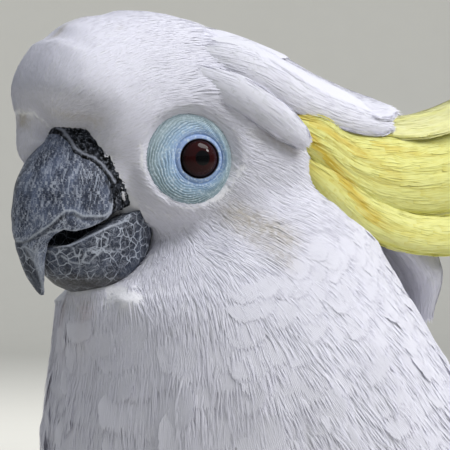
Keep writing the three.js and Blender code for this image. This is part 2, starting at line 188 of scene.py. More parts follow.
class StageSettings(bpy.types.PropertyGroup):
    """Camera distance and the tone of the studio."""

    distance: FloatProperty(
        name="Camera distance", description="Distance from the camera to the head",
        subtype="DISTANCE", unit="LENGTH", default=1.2, min=0.3)
    azimuth: FloatProperty(
        name="Camera azimuth", description="Degrees round the bird from its front",
        default=VIEW_AZIMUTH)
    floor: colour_setting("Floor", "Colour of the floor and backdrop", "#c9c7c0")


# ---------------------------------------------------------------- shapes

def spline(points, at):
    """Centripetal curve through points, with every span an equal share of 0 to 1."""
    points = np.asarray(points, float)
    last = len(points) - 1
    place = np.clip(np.asarray(at, float), 0, 1) * last
    span = np.minimum(place.astype(int), last - 1)
    t = (place - span)[:, None]
    padded = np.vstack([2 * points[0] - points[1], points, 2 * points[-1] - points[-2]])
    p0, p1, p2, p3 = (padded[span + k] for k in range(4))

    def gap(a, b):
        return np.sqrt(np.linalg.norm(b - a, axis=1))[:, None]

    d0, d1, d2 = gap(p0, p1), gap(p1, p2), gap(p2, p3)
    d1 = np.where(d1 < 1e-4, 1.0, d1)
    d0 = np.where(d0 < 1e-4, d1, d0)
    d2 = np.where(d2 < 1e-4, d1, d2)
    m1 = ((p1 - p0) / d0 - (p2 - p0) / (d0 + d1) + (p2 - p1) / d1) * d1
    m2 = ((p2 - p1) / d1 - (p3 - p1) / (d1 + d2) + (p3 - p2) / d2) * d1
    return (p1 + m1 * t + (3 * (p2 - p1) - 2 * m1 - m2) * t ** 2
            + (2 * (p1 - p2) + m1 + m2) * t ** 3)


class Loft:
    """Rings along smooth curves: centre, wide axis, thin axis, squareness, bow."""

    def __init__(self, stations):
        self.at = [s[0] for s in stations]
        self.a = [s[1] for s in stations]
        self.b = [s[2] for s in stations]
        self.extra = [[s[3] if len(s) > 3 else 2.0, s[4] if len(s) > 4 else 0.0, 0.0]
                      for s in stations]

    def skin(self, along, angle, grow=0.0):
        """Points on the ring at a share of the length and an angle."""
        centre, wide, thin = (spline(p, along) for p in (self.at, self.a, self.b))
        extra = spline(self.extra, along)
        across, through = np.cos(angle), np.sin(angle)
        power = extra[:, 0]
        round_out = (np.abs(across) ** power + np.abs(through) ** power) ** (-1 / power)
        wide_length = np.linalg.norm(wide, axis=1)
        thin_length = np.linalg.norm(thin, axis=1)
        reach = across * round_out * (wide_length + grow)
        rise = through * round_out * (thin_length + grow) - extra[:, 1] * (reach / wide_length) ** 2
        return centre + unit(wide) * reach[:, None] + unit(thin) * rise[:, None]

    def face(self, along, across, rise):
        """Points and outward directions over the broad outer face."""
        centre, wide, thin = (spline(p, along) for p in (self.at, self.a, self.b))
        bow = spline(self.extra, along)[:, 1]
        wide_length = np.linalg.norm(wide, axis=1)
        thin_length = np.linalg.norm(thin, axis=1)
        out = unit(thin) + unit(wide) * (2 * bow * across / wide_length)[:, None]
        height = thin_length - bow * across ** 2
        point = centre + wide * across[:, None] + unit(thin) * height[:, None]
        return point + unit(out) * rise[:, None], unit(out)

    def half_width(self, along):
        return np.linalg.norm(spline(self.a, along), axis=1)

    def length(self):
        steps = np.diff(spline(self.at, np.linspace(0, 1, 60)), axis=0)
        return np.linalg.norm(steps, axis=1).sum()


def ring(front, back, half_width, power=2.0):
    """A body ring from a front point to a back point in the middle plane."""
    (front_y, front_z), (back_y, back_z) = front, back
    return ([0, (front_y + back_y) / 2, (front_z + back_z) / 2], [half_width, 0, 0],
            [0, (back_y - front_y) / 2, (back_z - front_z) / 2], power)


UPPER_BILL = Loft([
    ring([-27, 10.5], [-17, 10.5], 4),
    ring([-29.5, 8.6], [-13, 8.6], 6.5),
    ring([-32.6, 4.2], [-10, 4.2], 10.2),
    ring([-37.0, -1.2], [-8, -1.2], 12.2),
    ring([-39.7, -6.4], [-8, -6.4], 12.8),
    ring([-41.0, -12.7], [-8, -12.7], 12.2),
    ring([-41.1, -17], [-12, -17], 10.8),
    ring([-40.6, -20.3], [-29, -20.3], 6),
    ring([-39.8, -24], [-31.5, -24], 4.2),
    ring([-37.9, -28.9], [-32, -28.9], 2.8),
    ring([-35.2, -32.6], [-32.2, -32.6], 1.4),
    ring([-34.2, -33.6], [-33.0, -33.6], 0.6),
])
UPPER_MOUTH = [
    (-33.4, -60), (-33.6, -33.4), (-34.4, -31), (-35.2, -26), (-35.5, -21),
    (-35.0, -18.8), (-33.4, -17.4), (-30.4, -17.9), (-26.6, -16.9), (-22.8, -15.2),
    (-20.5, -13.3), (-16, -11.7), (0, -8), (0, -60),
]
PALATE = [(-34.5, -30), (-34.8, -20), (-31, -13.5), (-26, -11.5), (-12, -9), (-12, -30)]
LOWER_BILL = Loft([
    ring([-36.0, -12], [-4, -6], 12.3, 2.3),
    ring([-36.0, -17], [-4, -12], 12.3, 2.3),
    ring([-35.2, -22], [-4, -18], 12.0, 2.3),
    ring([-32.6, -27.2], [-5, -24], 11.0, 2.3),
    ring([-28.4, -31.2], [-8, -29], 8.6, 2.2),
    ring([-22, -33.8], [-13, -33], 3.5),
])
LOWER_MOUTH = [
    (-60, -21.9), (-34.8, -21.9), (-31.2, -21.2), (-28.3, -20.0), (-22.8, -17.0),
    (-16, -13.6), (0, -9.6), (0, 40), (-60, 40),
]
SCOOP = [(-32.5, -18), (-31.5, -24), (-27, -27), (-20, -27), (-14, -23), (-12, -10)]
MOUTH_HALF_WIDTH = 7.0
PAST_BILL = 30.0
# Where horn meets cere on the upper bill: places along the bird and their heights.
CERE_EDGE = [
    (-60, 6.0), (-34.5, 6.0), (-32.4, 6.5), (-30.6, 5.9), (-29.9, 3.3), (-29.8, 1.5),
    (-28.6, 0.1), (-26.5, -0.8), (-24.7, -2.2), (-22.9, -4.5), (-21.9, -6.1), (-21.2, -8.3),
    (-20.8, -10.2), (-21, -20),
]
CERE_LINE = ((-24.8, -2.2), math.radians(-55.6))

# Rings across the whole bird, as front and back points in the middle plane.
SPINE = [
    ((-37.6, 10.5), (-37.8, 16.5)), ((-31, 2.5), (-32, 28)), ((-24, -3), (-25.5, 32.8)),
    ((-17, -10), (-16, 35.4)), ((-12, -20), (-5, 36.3)), ((-8, -26), (8, 34.3)),
    ((-7, -30), (20, 28.8)), ((-9, -32), (34, 19)), ((-14, -34), (46, 2)),
    ((-25.5, -37.5), (62, -20)), ((-25, -47), (78, -45)), ((-27, -60), (88, -58)),
    ((-28, -74), (99, -70)), ((-26, -94), (116, -83)), ((-15, -118), (137, -95)),
    ((9, -140), (159, -106.5)), ((42, -155), (181, -117.5)), ((85, -160), (200, -127.5)),
    ((125, -157), (216, -136)), ((160, -153), (228, -143)), ((190, -151), (236, -149)),
]

# The lie of the feathers on the left side: a place and a heading.
LIE = [
    ((0, -37, 12), (0, 0.2, 1)), ((0, -34, 24), (0, 0.6, 0.9)), ((0, -24, 32.5), (0, 1, 0.4)),
    ((0, -8, 36), (0, 1, 0)), ((0, 8, 34), (0, 1, -0.25)), ((0, 20, 29), (0, 1, -0.5)),
    ((0, 34, 19), (0, 1, -0.8)), ((0, 46, 0), (0, 0.6, -1)),
    ((10, -35, 6), (0.35, 0.35, 0.8)), ((14, -29, 12), (0.3, 0.7, 0.7)),
    ((16, -20, 20), (0.15, 1, 0.5)), ((18, -8, 24), (0, 1, 0.1)),
    ((16, -20, 4), (0.25, 0.9, 0.55)), ((17, -17, -5), (0.3, 0.9, -0.25)),
    ((19, -10, -13), (0.1, 0.8, -0.6)), ((22, 4, 16), (0, 1, -0.1)),
    ((24, 14, 5), (0, 1, -0.2)), ((24, 14, -8), (0, 0.85, -0.5)), ((21, 0, -16), (0, 0.75, -0.65)),
    ((24, 26, -12), (0, 0.85, -0.5)), ((26, 32, -22), (0, 0.75, -0.65)),
    ((15, -6, -24), (0, 0.35, -0.95)), ((8, -4, -32), (0, 0.15, -1)), ((0, -6, -34), (0, 0.1, -1)),
    ((20, 24, -34), (0, 0.35, -1)), ((20, 0, -38), (0, 0.1, -1)), ((34, 26, -42), (0, 0.6, -0.85)),
    ((0, -25, -45), (0, -0.05, -1)), ((30, -10, -50), (0, 0, -1)),
    ((0, -27, -60), (0, 0, -1)), ((0, -26, -94), (0, 0.2, -1)), ((0, -10, -120), (0, 0.5, -0.9)),
    ((0, 9, -140), (0, 0.8, -0.6)), ((0, 60, -158), (0, 1, -0.1)), ((0, 140, -157), (0, 1, 0.05)),
    ((0, 200, -152), (0, 1, 0)), ((0, 67, -27), (0, 0.6, -0.8)), ((0, 88, -58), (0, 0.6, -0.85)),
    ((0, 116, -83), (0, 0.8, -0.65)), ((0, 160, -107), (0, 0.9, -0.42)),
    ((0, 200, -127), (0, 1, -0.4)), ((0, 230, -143), (0, 1, -0.38)),
    ((44, 40, -70), (0, 0.6, -0.85)), ((46, 10, -90), (0, 0.5, -0.9)),
    ((50, 50, -90), (0, 0.85, -0.5)), ((52, 60, -115), (0, 1, -0.25)),
    ((50, 100, -110), (0, 1, -0.3)), ((40, 30, -130), (0, 0.85, -0.5)),
    ((40, 90, -145), (0, 1, -0.15)), ((30, 150, -145), (0, 1, -0.1)),
    ((36, 78, -150), (0, 0.35, -1)), ((30, 86, -168), (0, 0.35, -1)), ((26, 92, -182), (0, 0.1, -1)),
]


def grid_piece(rows, columns, shape, closed=False, capped=False):
    """A bmesh grid bent by shape(row share, column share) to places and their named values."""
    mesh = bmesh.new()
    bmesh.ops.create_grid(mesh, x_segments=rows, y_segments=columns, size=0.5)
    shares = np.array([vert.co for vert in mesh.verts])[:, :2] + 0.5
    points, values = shape(shares[:, 0], shares[:, 1])
    for vert, point in zip(mesh.verts, to_world(points)):
        vert.co = point
    for name, amounts in values.items():
        layer = mesh.verts.layers.float.new(name)
        for vert, amount in zip(mesh.verts, amounts):
            vert[layer] = amount
    if closed:
        bmesh.ops.remove_doubles(mesh, verts=mesh.verts, dist=1e-6)
    if capped:
        rim = [edge for edge in mesh.edges if edge.is_boundary]
        bmesh.ops.holes_fill(mesh, edges=rim, sides=0)
    bmesh.ops.recalc_face_normals(mesh, faces=mesh.faces)
    return mesh


def add_piece(name, shape, material, replaced=(), smooth=True):
    """Makes the object for a mesh or bmesh and fixes it to the frame."""
    data = mesh_data(shape) if isinstance(shape, bmesh.types.BMesh) else shape
    data.name = name
    piece = bpy.data.objects.new(name, data)
    bpy.context.scene.collection.objects.link(piece)
    data.materials.clear()
    data.materials.append(material)
    data.polygons.foreach_set("use_smooth", [smooth] * len(data.polygons))
    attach(piece, BODY)
    if replaced:
        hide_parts(*replaced)
    return piece


def mesh_data(mesh, name="part"):
    """The finished bmesh as mesh data."""
    data = bpy.data.meshes.new(name)
    mesh.to_mesh(data)
    mesh.free()
    return data


def merge_into(shells, mesh):
    """Adds one bmesh to another."""
    data = mesh_data(mesh)
    shells.from_mesh(data)
    bpy.data.meshes.remove(data)


def add_point_values(data, name, values):
    data.attributes.new(name, "FLOAT", "POINT").data.foreach_set("value", np.asarray(values, np.float32))


def mesh_points(data, kind="co"):
    points = np.empty(len(data.vertices) * 3)
    data.vertices.foreach_get(kind, points)
    return points.reshape(-1, 3)


def mesh_normals(data):
    return mesh_points(data, "normal")


def set_points(data, points):
    data.vertices.foreach_set("co", np.asarray(points, float).ravel())
    data.update()


def remeshed(mesh, voxel, smoothing):
    """Joins overlapping closed shells into one even surface and softens it."""
    data = mesh_data(mesh)
    carrier = bpy.data.objects.new("shells", data)
    bpy.context.scene.collection.objects.link(carrier)
    remesh = carrier.modifiers.new("remesh", "REMESH")
    remesh.mode, remesh.voxel_size = "VOXEL", voxel * MM
    soften = carrier.modifiers.new("soften", "SMOOTH")
    soften.factor, soften.iterations = 0.5, smoothing
    graph = bpy.context.evaluated_depsgraph_get()
    result = bpy.data.meshes.new_from_object(carrier.evaluated_get(graph))
    bpy.data.objects.remove(carrier)
    bpy.data.meshes.remove(data)
    return result


def node_shells(names, grow):
    """Merged copies of frame nodes, each pushed out a little, in one bmesh."""
    shells = bmesh.new()
    for name in names:
        shell = bmesh.new()
        shell.from_mesh(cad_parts[name].data)
        bmesh.ops.remove_doubles(shell, verts=shell.verts, dist=1e-6)
        bmesh.ops.recalc_face_normals(shell, faces=shell.faces)
        shell.normal_update()
        for vert in shell.verts:
            vert.co += vert.normal * grow * MM
        merge_into(shells, shell)
    return shells


def loft_shell(loft, rows, columns, grow=0.0):
    """A loft as a closed bmesh."""
    return grid_piece(rows, columns, lambda along, turn: (
        loft.skin(along, turn * 2 * math.pi, grow), {}), closed=True, capped=True)


def plate(outline, half_width):
    """An outline in the middle plane, extruded across the bird."""
    mesh = bmesh.new()
    verts = [mesh.verts.new(to_world([-half_width, y, z])) for y, z in outline]
    face = mesh.faces.new(verts)
    sides = bmesh.ops.extrude_face_region(mesh, geom=[face])
    moved = [item for item in sides["geom"] if isinstance(item, bmesh.types.BMVert)]
    bmesh.ops.translate(mesh, verts=moved, vec=(2 * half_width * MM, 0, 0))
    bmesh.ops.recalc_face_normals(mesh, faces=mesh.faces)
    return mesh


def carved(mesh, cutters):
    """The mesh with each cutter taken out of it."""
    objects = []
    for part in [mesh, *cutters]:
        objects.append(bpy.data.objects.new("cut", mesh_data(part)))
        bpy.context.scene.collection.objects.link(objects[-1])
    for cutter in objects[1:]:
        cut = objects[0].modifiers.new("cut", "BOOLEAN")
        cut.operation, cut.solver, cut.object = "DIFFERENCE", "EXACT", cutter
    graph = bpy.context.evaluated_depsgraph_get()
    result = bmesh.new()
    evaluated = objects[0].evaluated_get(graph)
    result.from_mesh(evaluated.to_mesh())
    evaluated.to_mesh_clear()
    for item in objects:
        bpy.data.objects.remove(item)
    return result


# ---------------------------------------------------------------- feathers

def strand_faces(first):
    """Triangles of a tapering strand: two corners, two corners and a tip."""
    return [(first, first + 1, first + 3), (first, first + 3, first + 2),
            (first + 2, first + 3, first + 4)]


def tuft_template(draw, strands, half, spread, lean=0.35):
    """Fine strands that fan from one root: across, along, lift and two leans of the normal."""
    points, triangles = [], []
    for strand in range(strands):
        root = draw.uniform(-0.8, 0.8)
        tip = root + draw.uniform(-spread, spread)
        reach = draw.uniform(0.6, 1.0)
        lift = draw.uniform(-0.05, 0.12)
        for share in (0.0, 0.5):
            middle = root + (tip - root) * share
            points += [(middle - half, share * reach, lift * share, -lean, 0),
                       (middle + half, share * reach, lift * share, lean, 0)]
        points.append((tip, reach, lift, 0, 0))
        triangles += strand_faces(5 * strand)
    return np.array(points), np.array(triangles)


def contour_template(draw, fringe=30, ribs=16, columns=6, rows=6):
    """A body feather: a smooth vane, raised barbs on it and a combed fringe at its tip."""
    points, triangles = [], []
    for row in range(rows + 1):
        share = row / rows
        for column in range(columns + 1):
            across = 2 * column / columns - 1
            end = 0.56 + 0.28 * math.sqrt(1 - across ** 2)
            points.append((0.92 * across * (0.35 + 0.65 * min(1, share / 0.6)), share * end, 0, 0, 0))
    for row in range(rows):
        for column in range(columns):
            low = row * (columns + 1) + column
            high = low + columns + 1
            triangles += [(low, low + 1, high + 1), (low, high + 1, high)]

    def strand(start, end, half, lift, lean):
        middle = np.add(start, end) / 2
        first = len(points)
        for place, wide in ((start, half), (middle, 0.85 * half)):
            points.extend([(place[0] - wide, place[1], lift, -lean, 0),
                           (place[0] + wide, place[1], lift, lean, 0)])
        points.append((*end, lift, 0, 0))
        triangles.extend(strand_faces(first))

    for number in range(fringe):
        angle = ((number + 0.5) / fringe * 2 - 1) * 1.4
        reach = 0.35 * math.cos(angle) + draw.uniform(-0.03, 0.04)
        start = (0.84 * math.sin(angle), 0.54 + 0.22 * math.cos(angle))
        end = (0.93 * math.sin(angle) + draw.normal(0, 0.025), 0.64 + reach)
        strand(start, end, 1.45 / fringe, 0.02, draw.uniform(0.03, 0.14))
    for _ in range(ribs):
        across, along = draw.uniform(-0.8, 0.8), draw.uniform(0.3, 0.75)
        slant = draw.normal(0.03, 0.03)
        strand((across, along), (across + slant, along + draw.uniform(0.12, 0.22)), 0.028, 0.03,
               draw.uniform(0.03, 0.16))
    return np.array(points), np.array(triangles)


def strap_outline(along):
    """Half width of a long feather with a rounded tip."""
    end = np.clip(1 - (np.clip(along - 0.86, 0, 1) / 0.14) ** 2, 0, 1) ** 0.6
    return (0.55 + 0.45 * np.clip(along / 0.3, 0, 1)) * end


def plume_outline(along):
    """Half width of a narrow crest plume with a tapering tip."""
    end = np.clip(1 - (np.clip(along - 0.55, 0, 1) / 0.45) ** 2.2, 0, 1) ** 0.8
    return (0.45 + 0.55 * np.clip(along / 0.35, 0, 1)) * end


def vane_template(draw, barbs, outline, sweep=0.3, closed=0.8, ragged=0.05, lean=0.4, rows=3):
    """A feather made of barbs: across, along, lift and two leans of the normal."""
    points, triangles = [], []
    pitch = 0.96 / barbs
    half = pitch * 0.6
    for side in (-1, 1):
        for barb in range(barbs):
            root = 0.01 + pitch * (barb + 0.5)
            tip = min(1.0, root + (1 - root) * sweep * draw.uniform(0.85, 1.1))
            reach = float(outline(np.array(tip))) * (1 + draw.uniform(-ragged, ragged))
            tilt = lean * draw.uniform(0.7, 1.3)
            first = len(points)
            for row in range(rows):
                share = closed * row / (rows - 1)
                middle = root + (tip - root) * share ** 1.3
                bend = tilt * share
                points += [(side * reach * share, middle - half, 0, 0.5 * side * bend, -0.8 * bend),
                           (side * reach * share, middle + half, 0.04, -0.5 * side * bend, 0.8 * bend)]
            points.append((side * reach, tip, 0, 0, 0))
            last = 2 * rows - 2
            faces = [(last, last + 2, last + 1)]
            for low in range(0, last, 2):
                faces += [(low, low + 2, low + 3), (low, low + 3, low + 1)]
            if side < 0:
                faces = [face[::-1] for face in faces]
            triangles += [[first + corner for corner in face] for face in faces]
    return np.array(points), np.array(triangles)


def smooth_along(stations, share):
    """Values at shares of the length, from evenly spaced rows of stations."""
    steps = stations.shape[1] - 1
    place = np.clip(share, 0, 1) * steps
    low = np.minimum(place.astype(int), steps - 1)
    blend = (place - low)[None, :, None]
    return stations[:, low] * (1 - blend) + stations[:, low + 1] * blend


def shaped_feathers(template, shafts, normals, widths, camber):
    """Every feather of one template laid along its own shaft, with its shading normals."""
    points, _ = template
    centre = smooth_along(shafts, points[:, 1])
    out = unit(smooth_along(normals, points[:, 1]))
    ahead = unit(smooth_along(shafts, points[:, 1] + 0.03) - smooth_along(shafts, points[:, 1] - 0.03))
    side = unit(np.cross(ahead, out))
    across = points[None, :, 0, None] * widths[:, None, None]
    lift = points[None, :, 2, None] - camber * across ** 2
    shading = (out + side * (camber * across + points[None, :, 3, None])
               + ahead * points[None, :, 4, None])
    return centre + side * across + out * lift, unit(shading)


# Stained places and painted shadows, given on the left side and alike on the right: the two ends of a
# streak, its radius and its strength.
STAINS_AND_SHADOWS = [
    ((9.3, -18.5, 30.6), (3.8, -8.7, 34.5), 0.7, 0.75),
    ((9.7, -10.4, 31.1), (7.8, -6.4, 32.6), 0.6, 0.5),
    ((7.9, -34.9, 20.3), (5.2, -32.1, 26.0), 0.9, 0.5),
    ((14.6, 1.1, 26.0), (16.2, 3.5, 24.0), 0.5, 0.8),
    ((16.6, -1.2, 22.0), (17.7, 1.9, 20.3), 0.5, 0.8),
    ((16.7, -20.1, 12.5), (16.8, -19.0, 13.0), 0.5, 0.7),
    ((17.2, -14.8, 13.7), (17.2, -14.2, 14.2), 0.5, 0.7),
    ((0.0, -30.0, 30.4), (0.0, -21.0, 34.0), 1.4, 0.35),
    # Painted shadow, in the stain's tan, under the brow fold and under the small fold beneath it.
    ((19.8, 8.5, 16.7), (22.8, 18.4, 6.9), 1.8, 0.6),
    ((22.8, 18.4, 6.9), (22.7, 24.4, 3.2), 2.2, 0.6),
    ((22.7, 13.9, 6.1), (22.9, 15.9, 4.4), 1.3, 0.4),
    ((21.1, 9.1, -14.0), (28.0, 18.5, -20.0), 3.4, 0.6),
    ((23.1, 9.2, -17.6), (31.1, 17.0, -25.5), 2.6, 0.4),
    ((4.4, -22.6, -37.2), (3.5, -21.9, -47.0), 2.0, 0.8),
    ((34.3, 4.3, -40.9), (37.7, 9.5, -50.0), 0.9, 0.5),
    # Painted shade under the edge of the forehead feathers over the bill.
    ((5.0, -36.0, 9.5), (13.0, -27.0, 8.0), 2.0, 0.5),
]


def search_tree(spots):
    """A tree that finds the nearest of the spots."""
    tree = KDTree(len(spots))
    for number, spot in enumerate(spots.tolist()):
        tree.insert(spot, number)
    tree.balance()
    return tree


def outward_sides(points):
    """Factors that mirror a left-side direction for the points on the right."""
    return np.where(points[:, :1] < 0, [[-1.0, 1.0, 1.0]], [[1.0, 1.0, 1.0]])


def folded_left(points):
    """Points brought over to the left side."""
    return np.stack([np.abs(points[:, 0]), points[:, 1], points[:, 2]], axis=1)


def stain_and_shadow_at(points):
    """How much stain and painted shadow the plumage has at each point, alike on both sides."""
    amount = np.zeros(len(points))
    near = np.flatnonzero((points[:, 1] < 45) & (points[:, 2] > -60))
    folded = folded_left(points[near])
    for start, end, radius, strength in STAINS_AND_SHADOWS:
        start, way = np.array(start), np.subtract(end, start)
        share = np.clip((folded - start) @ way / (way @ way), 0, 1)
        gap = np.linalg.norm(folded - start - share[:, None] * way, axis=1)
        amount[near] = np.maximum(amount[near], strength * np.exp(-(gap / radius) ** 2))
    return amount


class Coat:
    """Gathers feathers and writes them as joined meshes with their bake map, point values and shading
    normals.
    """

    LIMIT = 190_000

    def __init__(self, name, material, slot, replaced=()):
        self.name, self.material, self.slot, self.replaced = name, material, slot, replaced
        self.written = 0
        self.empty()

    def empty(self):
        self.points, self.triangles, self.normals, self.bake = [], [], [], []
        self.values = {"along": [], "across": [], "tone": [], "groove": []}
        self.count = self.size = 0

    def add(self, template, laid, roots, tones, grooves):
        """Adds feathers of one template: laid holds places and normals, feather by feather."""
        points, triangles = template
        places, normals = laid
        room = (self.LIMIT - self.size) // len(triangles)
        if len(places) > room:
            for part in (slice(0, room), slice(room, None)):
                if len(places[part]):
                    self.add(template, (places[part], normals[part]), roots[part], tones[part],
                             grooves[part])
                if part.start == 0:
                    self.write()
            return
        amount, corners = places.shape[:2]
        first = self.count + corners * np.arange(amount)[:, None, None]
        self.triangles.append((triangles[None] + first).reshape(-1, 3))
        self.points.append(places.reshape(-1, 3))
        self.normals.append(normals.reshape(-1, 3))
        patch = np.clip(np.stack([points[:, 0] / 2, points[:, 1] - 0.5], axis=1), -0.7, 0.7)
        self.bake.append((unwrap(roots)[:, None] + 0.003 * patch[None]).reshape(-1, 2))
        self.values["along"].append(np.tile(points[:, 1], amount))
        self.values["across"].append(np.tile(points[:, 0], amount))
        self.values["tone"].append(np.repeat(tones, corners))
        self.values["groove"].append(np.repeat(grooves, corners))
        self.count += amount * corners
        self.size += amount * len(triangles)

    def write(self):
        """Makes one object of what has been gathered."""
        if not self.points:
            return
        self.written += 1
        name = f"{self.name}_{self.written}"
        data = bpy.data.meshes.new(name)
        triangles, points = np.concatenate(self.triangles), np.concatenate(self.points)
        data.from_pydata(to_world(points), [], triangles)
        layer = data.uv_layers.new(name="OFBake")
        bake = np.concatenate(self.bake)[triangles.ravel()]
        layer.uv.foreach_set("vector", bake.astype(np.float32).ravel())
        for label, values in self.values.items():
            add_point_values(data, label, np.concatenate(values))
        add_point_values(data, "stain", stain_and_shadow_at(points))
        add_piece(name, data, self.material, self.replaced)
        data.normals_split_custom_set_from_vertices(np.concatenate(self.normals))
        self.replaced = ()
        self.empty()


def spine_rings():
    fronts = np.array([[0, *front] for front, _ in SPINE], float)
    backs = np.array([[0, *back] for _, back in SPINE], float)
    shares = np.linspace(0, 1, 241)
    front, back = spline(fronts, shares), spline(backs, shares)
    centre = (front + back) / 2
    through = unit(back - front)
    heading = np.cross([1.0, 0, 0], through)
    flip = np.sign(np.sum(heading[:-1] * np.diff(centre, axis=0), axis=1)).sum()
    steps = np.linalg.norm(np.diff(centre, axis=0), axis=1)
    return centre, through, heading * flip / abs(flip), np.concatenate([[0], np.cumsum(steps)])


SPINE_CENTRE, SPINE_THROUGH, SPINE_HEADING, SPINE_LENGTH = spine_rings()


def along_spine(points):
    """Ring number, angle round it, and distance along the spine of each point."""
    points = np.asarray(points, float)
    number = np.empty(len(points), int)
    for start in range(0, len(points), 20_000):
        part = points[start:start + 20_000]
        offset = part[:, None] - SPINE_CENTRE[None]
        ahead = np.abs(np.einsum("pki,ki->pk", offset, SPINE_HEADING))
        beside = np.linalg.norm(offset, axis=2)
        number[start:start + 20_000] = np.argmin(ahead + 0.25 * beside, axis=1)
    offset = points - SPINE_CENTRE[number]
    angle = np.arctan2(offset[:, 0], -np.sum(offset * SPINE_THROUGH[number], axis=1))
    return number, angle, SPINE_LENGTH[number]


def unwrap(points):
    """Places on a flat unwrap of the bird: round the body, and along it."""
    _, angle, length = along_spine(points)
    return np.stack([0.02 + 0.96 * (angle / (2 * math.pi) + 0.5),
                     0.02 + 0.96 * length / SPINE_LENGTH[-1]], axis=1)


def headings_at(points):
    """The lie of the feathers at each point, the same on both sides."""
    places = np.array([place for place, _ in LIE], float)
    ways = unit([way for _, way in LIE])
    folded = folded_left(points)
    side = np.where(points[:, 0] < 0, -1.0, 1.0)
    gap = np.linalg.norm(folded[:, None] - places[None], axis=2)
    weight = 1 / (gap + 2.0) ** 4
    heading = unit(weight @ ways / weight.sum(axis=1, keepdims=True))
    heading[:, 0] *= side
    # The ruffled forehead feathers on the right hang down over the bill.
    hangs = (points[:, 0] < -1) & (points[:, 1] < -26) & (points[:, 2] < 11)
    heading[hangs] = unit(heading[hangs] * 0.2 + [-0.15, 0.1, -1])
    return heading


class Skin:
    """Nearest places and normals on the finished skin, in the eye frame."""

    def __init__(self):
        data = bpy.data.objects["skin"].data
        self.points = to_eye_frame(mesh_points(data))
        normals = mesh_normals(data)
        data.calc_loop_triangles()
        corners = np.empty(len(data.loop_triangles) * 3, int)
        data.loop_triangles.foreach_get("vertices", corners)
        self.triangles = corners.reshape(-1, 3)
        self.normals = unit(normals[self.triangles].sum(axis=1))
        self.tree = BVHTree.FromPolygons(self.points.tolist(), self.triangles.tolist())

    def nearest(self, points):
        """The closest skin point and its normal for each point."""
        found = [self.tree.find_nearest(point) for point in points.tolist()]
        places = np.array([hit[0] for hit in found])
        return places, self.normals[[hit[2] for hit in found]]

    def scattered(self, draw, amount, wanted, spacing):
        """Evenly spaced random roots where wanted(points) holds."""
        a, b, c = (self.points[self.triangles[:, k]] for k in range(3))
        area = np.linalg.norm(np.cross(b - a, c - a), axis=1) / 2
        middle = (a + b + c) / 3
        keep = wanted(middle)
        area = np.where(keep, area / spacing(middle) ** 2, 0)
        pick = draw.choice(len(area), amount, p=area / area.sum())
        u, v = draw.random(amount), draw.random(amount)
        over = u + v > 1
        u, v = np.where(over, 1 - u, u), np.where(over, 1 - v, v)
        spots = a[pick] + (b - a)[pick] * u[:, None] + (c - a)[pick] * v[:, None]
        tree = search_tree(spots)
        gap = spacing(spots)
        blocked = np.zeros(amount, bool)
        chosen = []
        for number in range(amount):
            if blocked[number]:
                continue
            chosen.append(number)
            for _, other, _ in tree.find_range(spots[number].tolist(), gap[number]):
                blocked[other] = True
        return spots[chosen], self.normals[pick[chosen]]

    def shafts(self, roots, headings, lengths, rise, steps):
        """Walks each shaft over the skin and lifts it by rise(share)."""
        places, normals = [], []
        here, aim = roots, headings
        for _ in range(steps + 1):
            spot, normal = self.nearest(here)
            aim = unit(aim - np.sum(aim * normal, axis=1, keepdims=True) * normal)
            places.append(spot)
            normals.append(normal)
            here = spot + aim * (lengths / steps)[:, None]
        places, normals = np.stack(places, axis=1), np.stack(normals, axis=1)
        share = np.linspace(0, 1, steps + 1)
        return places + normals * rise(share)[:, :, None], normals


def ring_place(points):
    """Distance from the eye ring's axis and height above the eye, on both sides."""
    offset = folded_left(points) - EYE_CENTRE
    height = offset @ EYE_AXIS
    flat = offset - height[:, None] * EYE_AXIS - RING_SET_FORWARD * EYE_FORWARD
    return np.linalg.norm(flat, axis=1), height


def bill_trees():
    """Closed surfaces of both halves of the bill, for finding distances to it."""
    trees = []
    for loft in (UPPER_BILL, LOWER_BILL):
        rows, turns = np.meshgrid(np.linspace(0, 1, 41), np.linspace(0, 2 * math.pi, 49)[:-1],
                                  indexing="ij")
        surface = loft.skin(rows.ravel(), turns.ravel())
        index = np.arange(len(surface)).reshape(rows.shape)
        ahead = np.roll(index, -1, axis=1)
        quads = np.stack([index[:-1], ahead[:-1], ahead[1:], index[1:]], axis=-1).reshape(-1, 4)
        caps = [index[0][::-1].tolist(), index[-1].tolist()]
        trees.append((BVHTree.FromPolygons(surface.tolist(), quads.tolist() + caps),
                      spline(loft.at, np.linspace(0, 1, 41))))
    return trees


BILL_TREES = bill_trees()


def bill_gap(points):
    """Distance to the bill, negative inside it, and the way into it."""
    gap = np.full(len(points), 50.0)
    way = np.zeros((len(points), 3))
    for tree, centres in BILL_TREES:
        for number in np.flatnonzero(np.linalg.norm(points - [0, -22, -8], axis=1) < 42):
            point = points[number]
            spot, _, _, reach = tree.find_nearest(point.tolist())
            middle = centres[np.argmin(np.linalg.norm(centres - point, axis=1))]
            if np.linalg.norm(np.array(spot) - middle) > np.linalg.norm(point - middle):
                reach = -reach
            if reach < gap[number]:
                gap[number] = reach
                way[number] = np.array(spot) - point
    return gap, unit(way) * np.sign(gap)[:, None]


# ---------------------------------------------------------------- materials

def node(tree, kind, inputs=(), **settings):
    """Adds a node with its settings, constants and links."""
    made = tree.nodes.new(kind)
    for name, value in settings.items():
        setattr(made, name, value)
    for name, value in dict(inputs).items():
        if isinstance(value, bpy.types.NodeSocket):
            tree.links.new(value, made.inputs[name])
        else:
            made.inputs[name].default_value = value
    return made


def new_material(name, **values):
    """A material with its main shader's constants set on its sockets."""
    material = bpy.data.materials.new(name)
    material.use_nodes = True
    tree = material.node_tree
    shader = tree.nodes["Principled BSDF"]
    for socket, value in values.items():
        shader.inputs[socket.replace("_", " ")].default_value = value
    return material, tree, shader


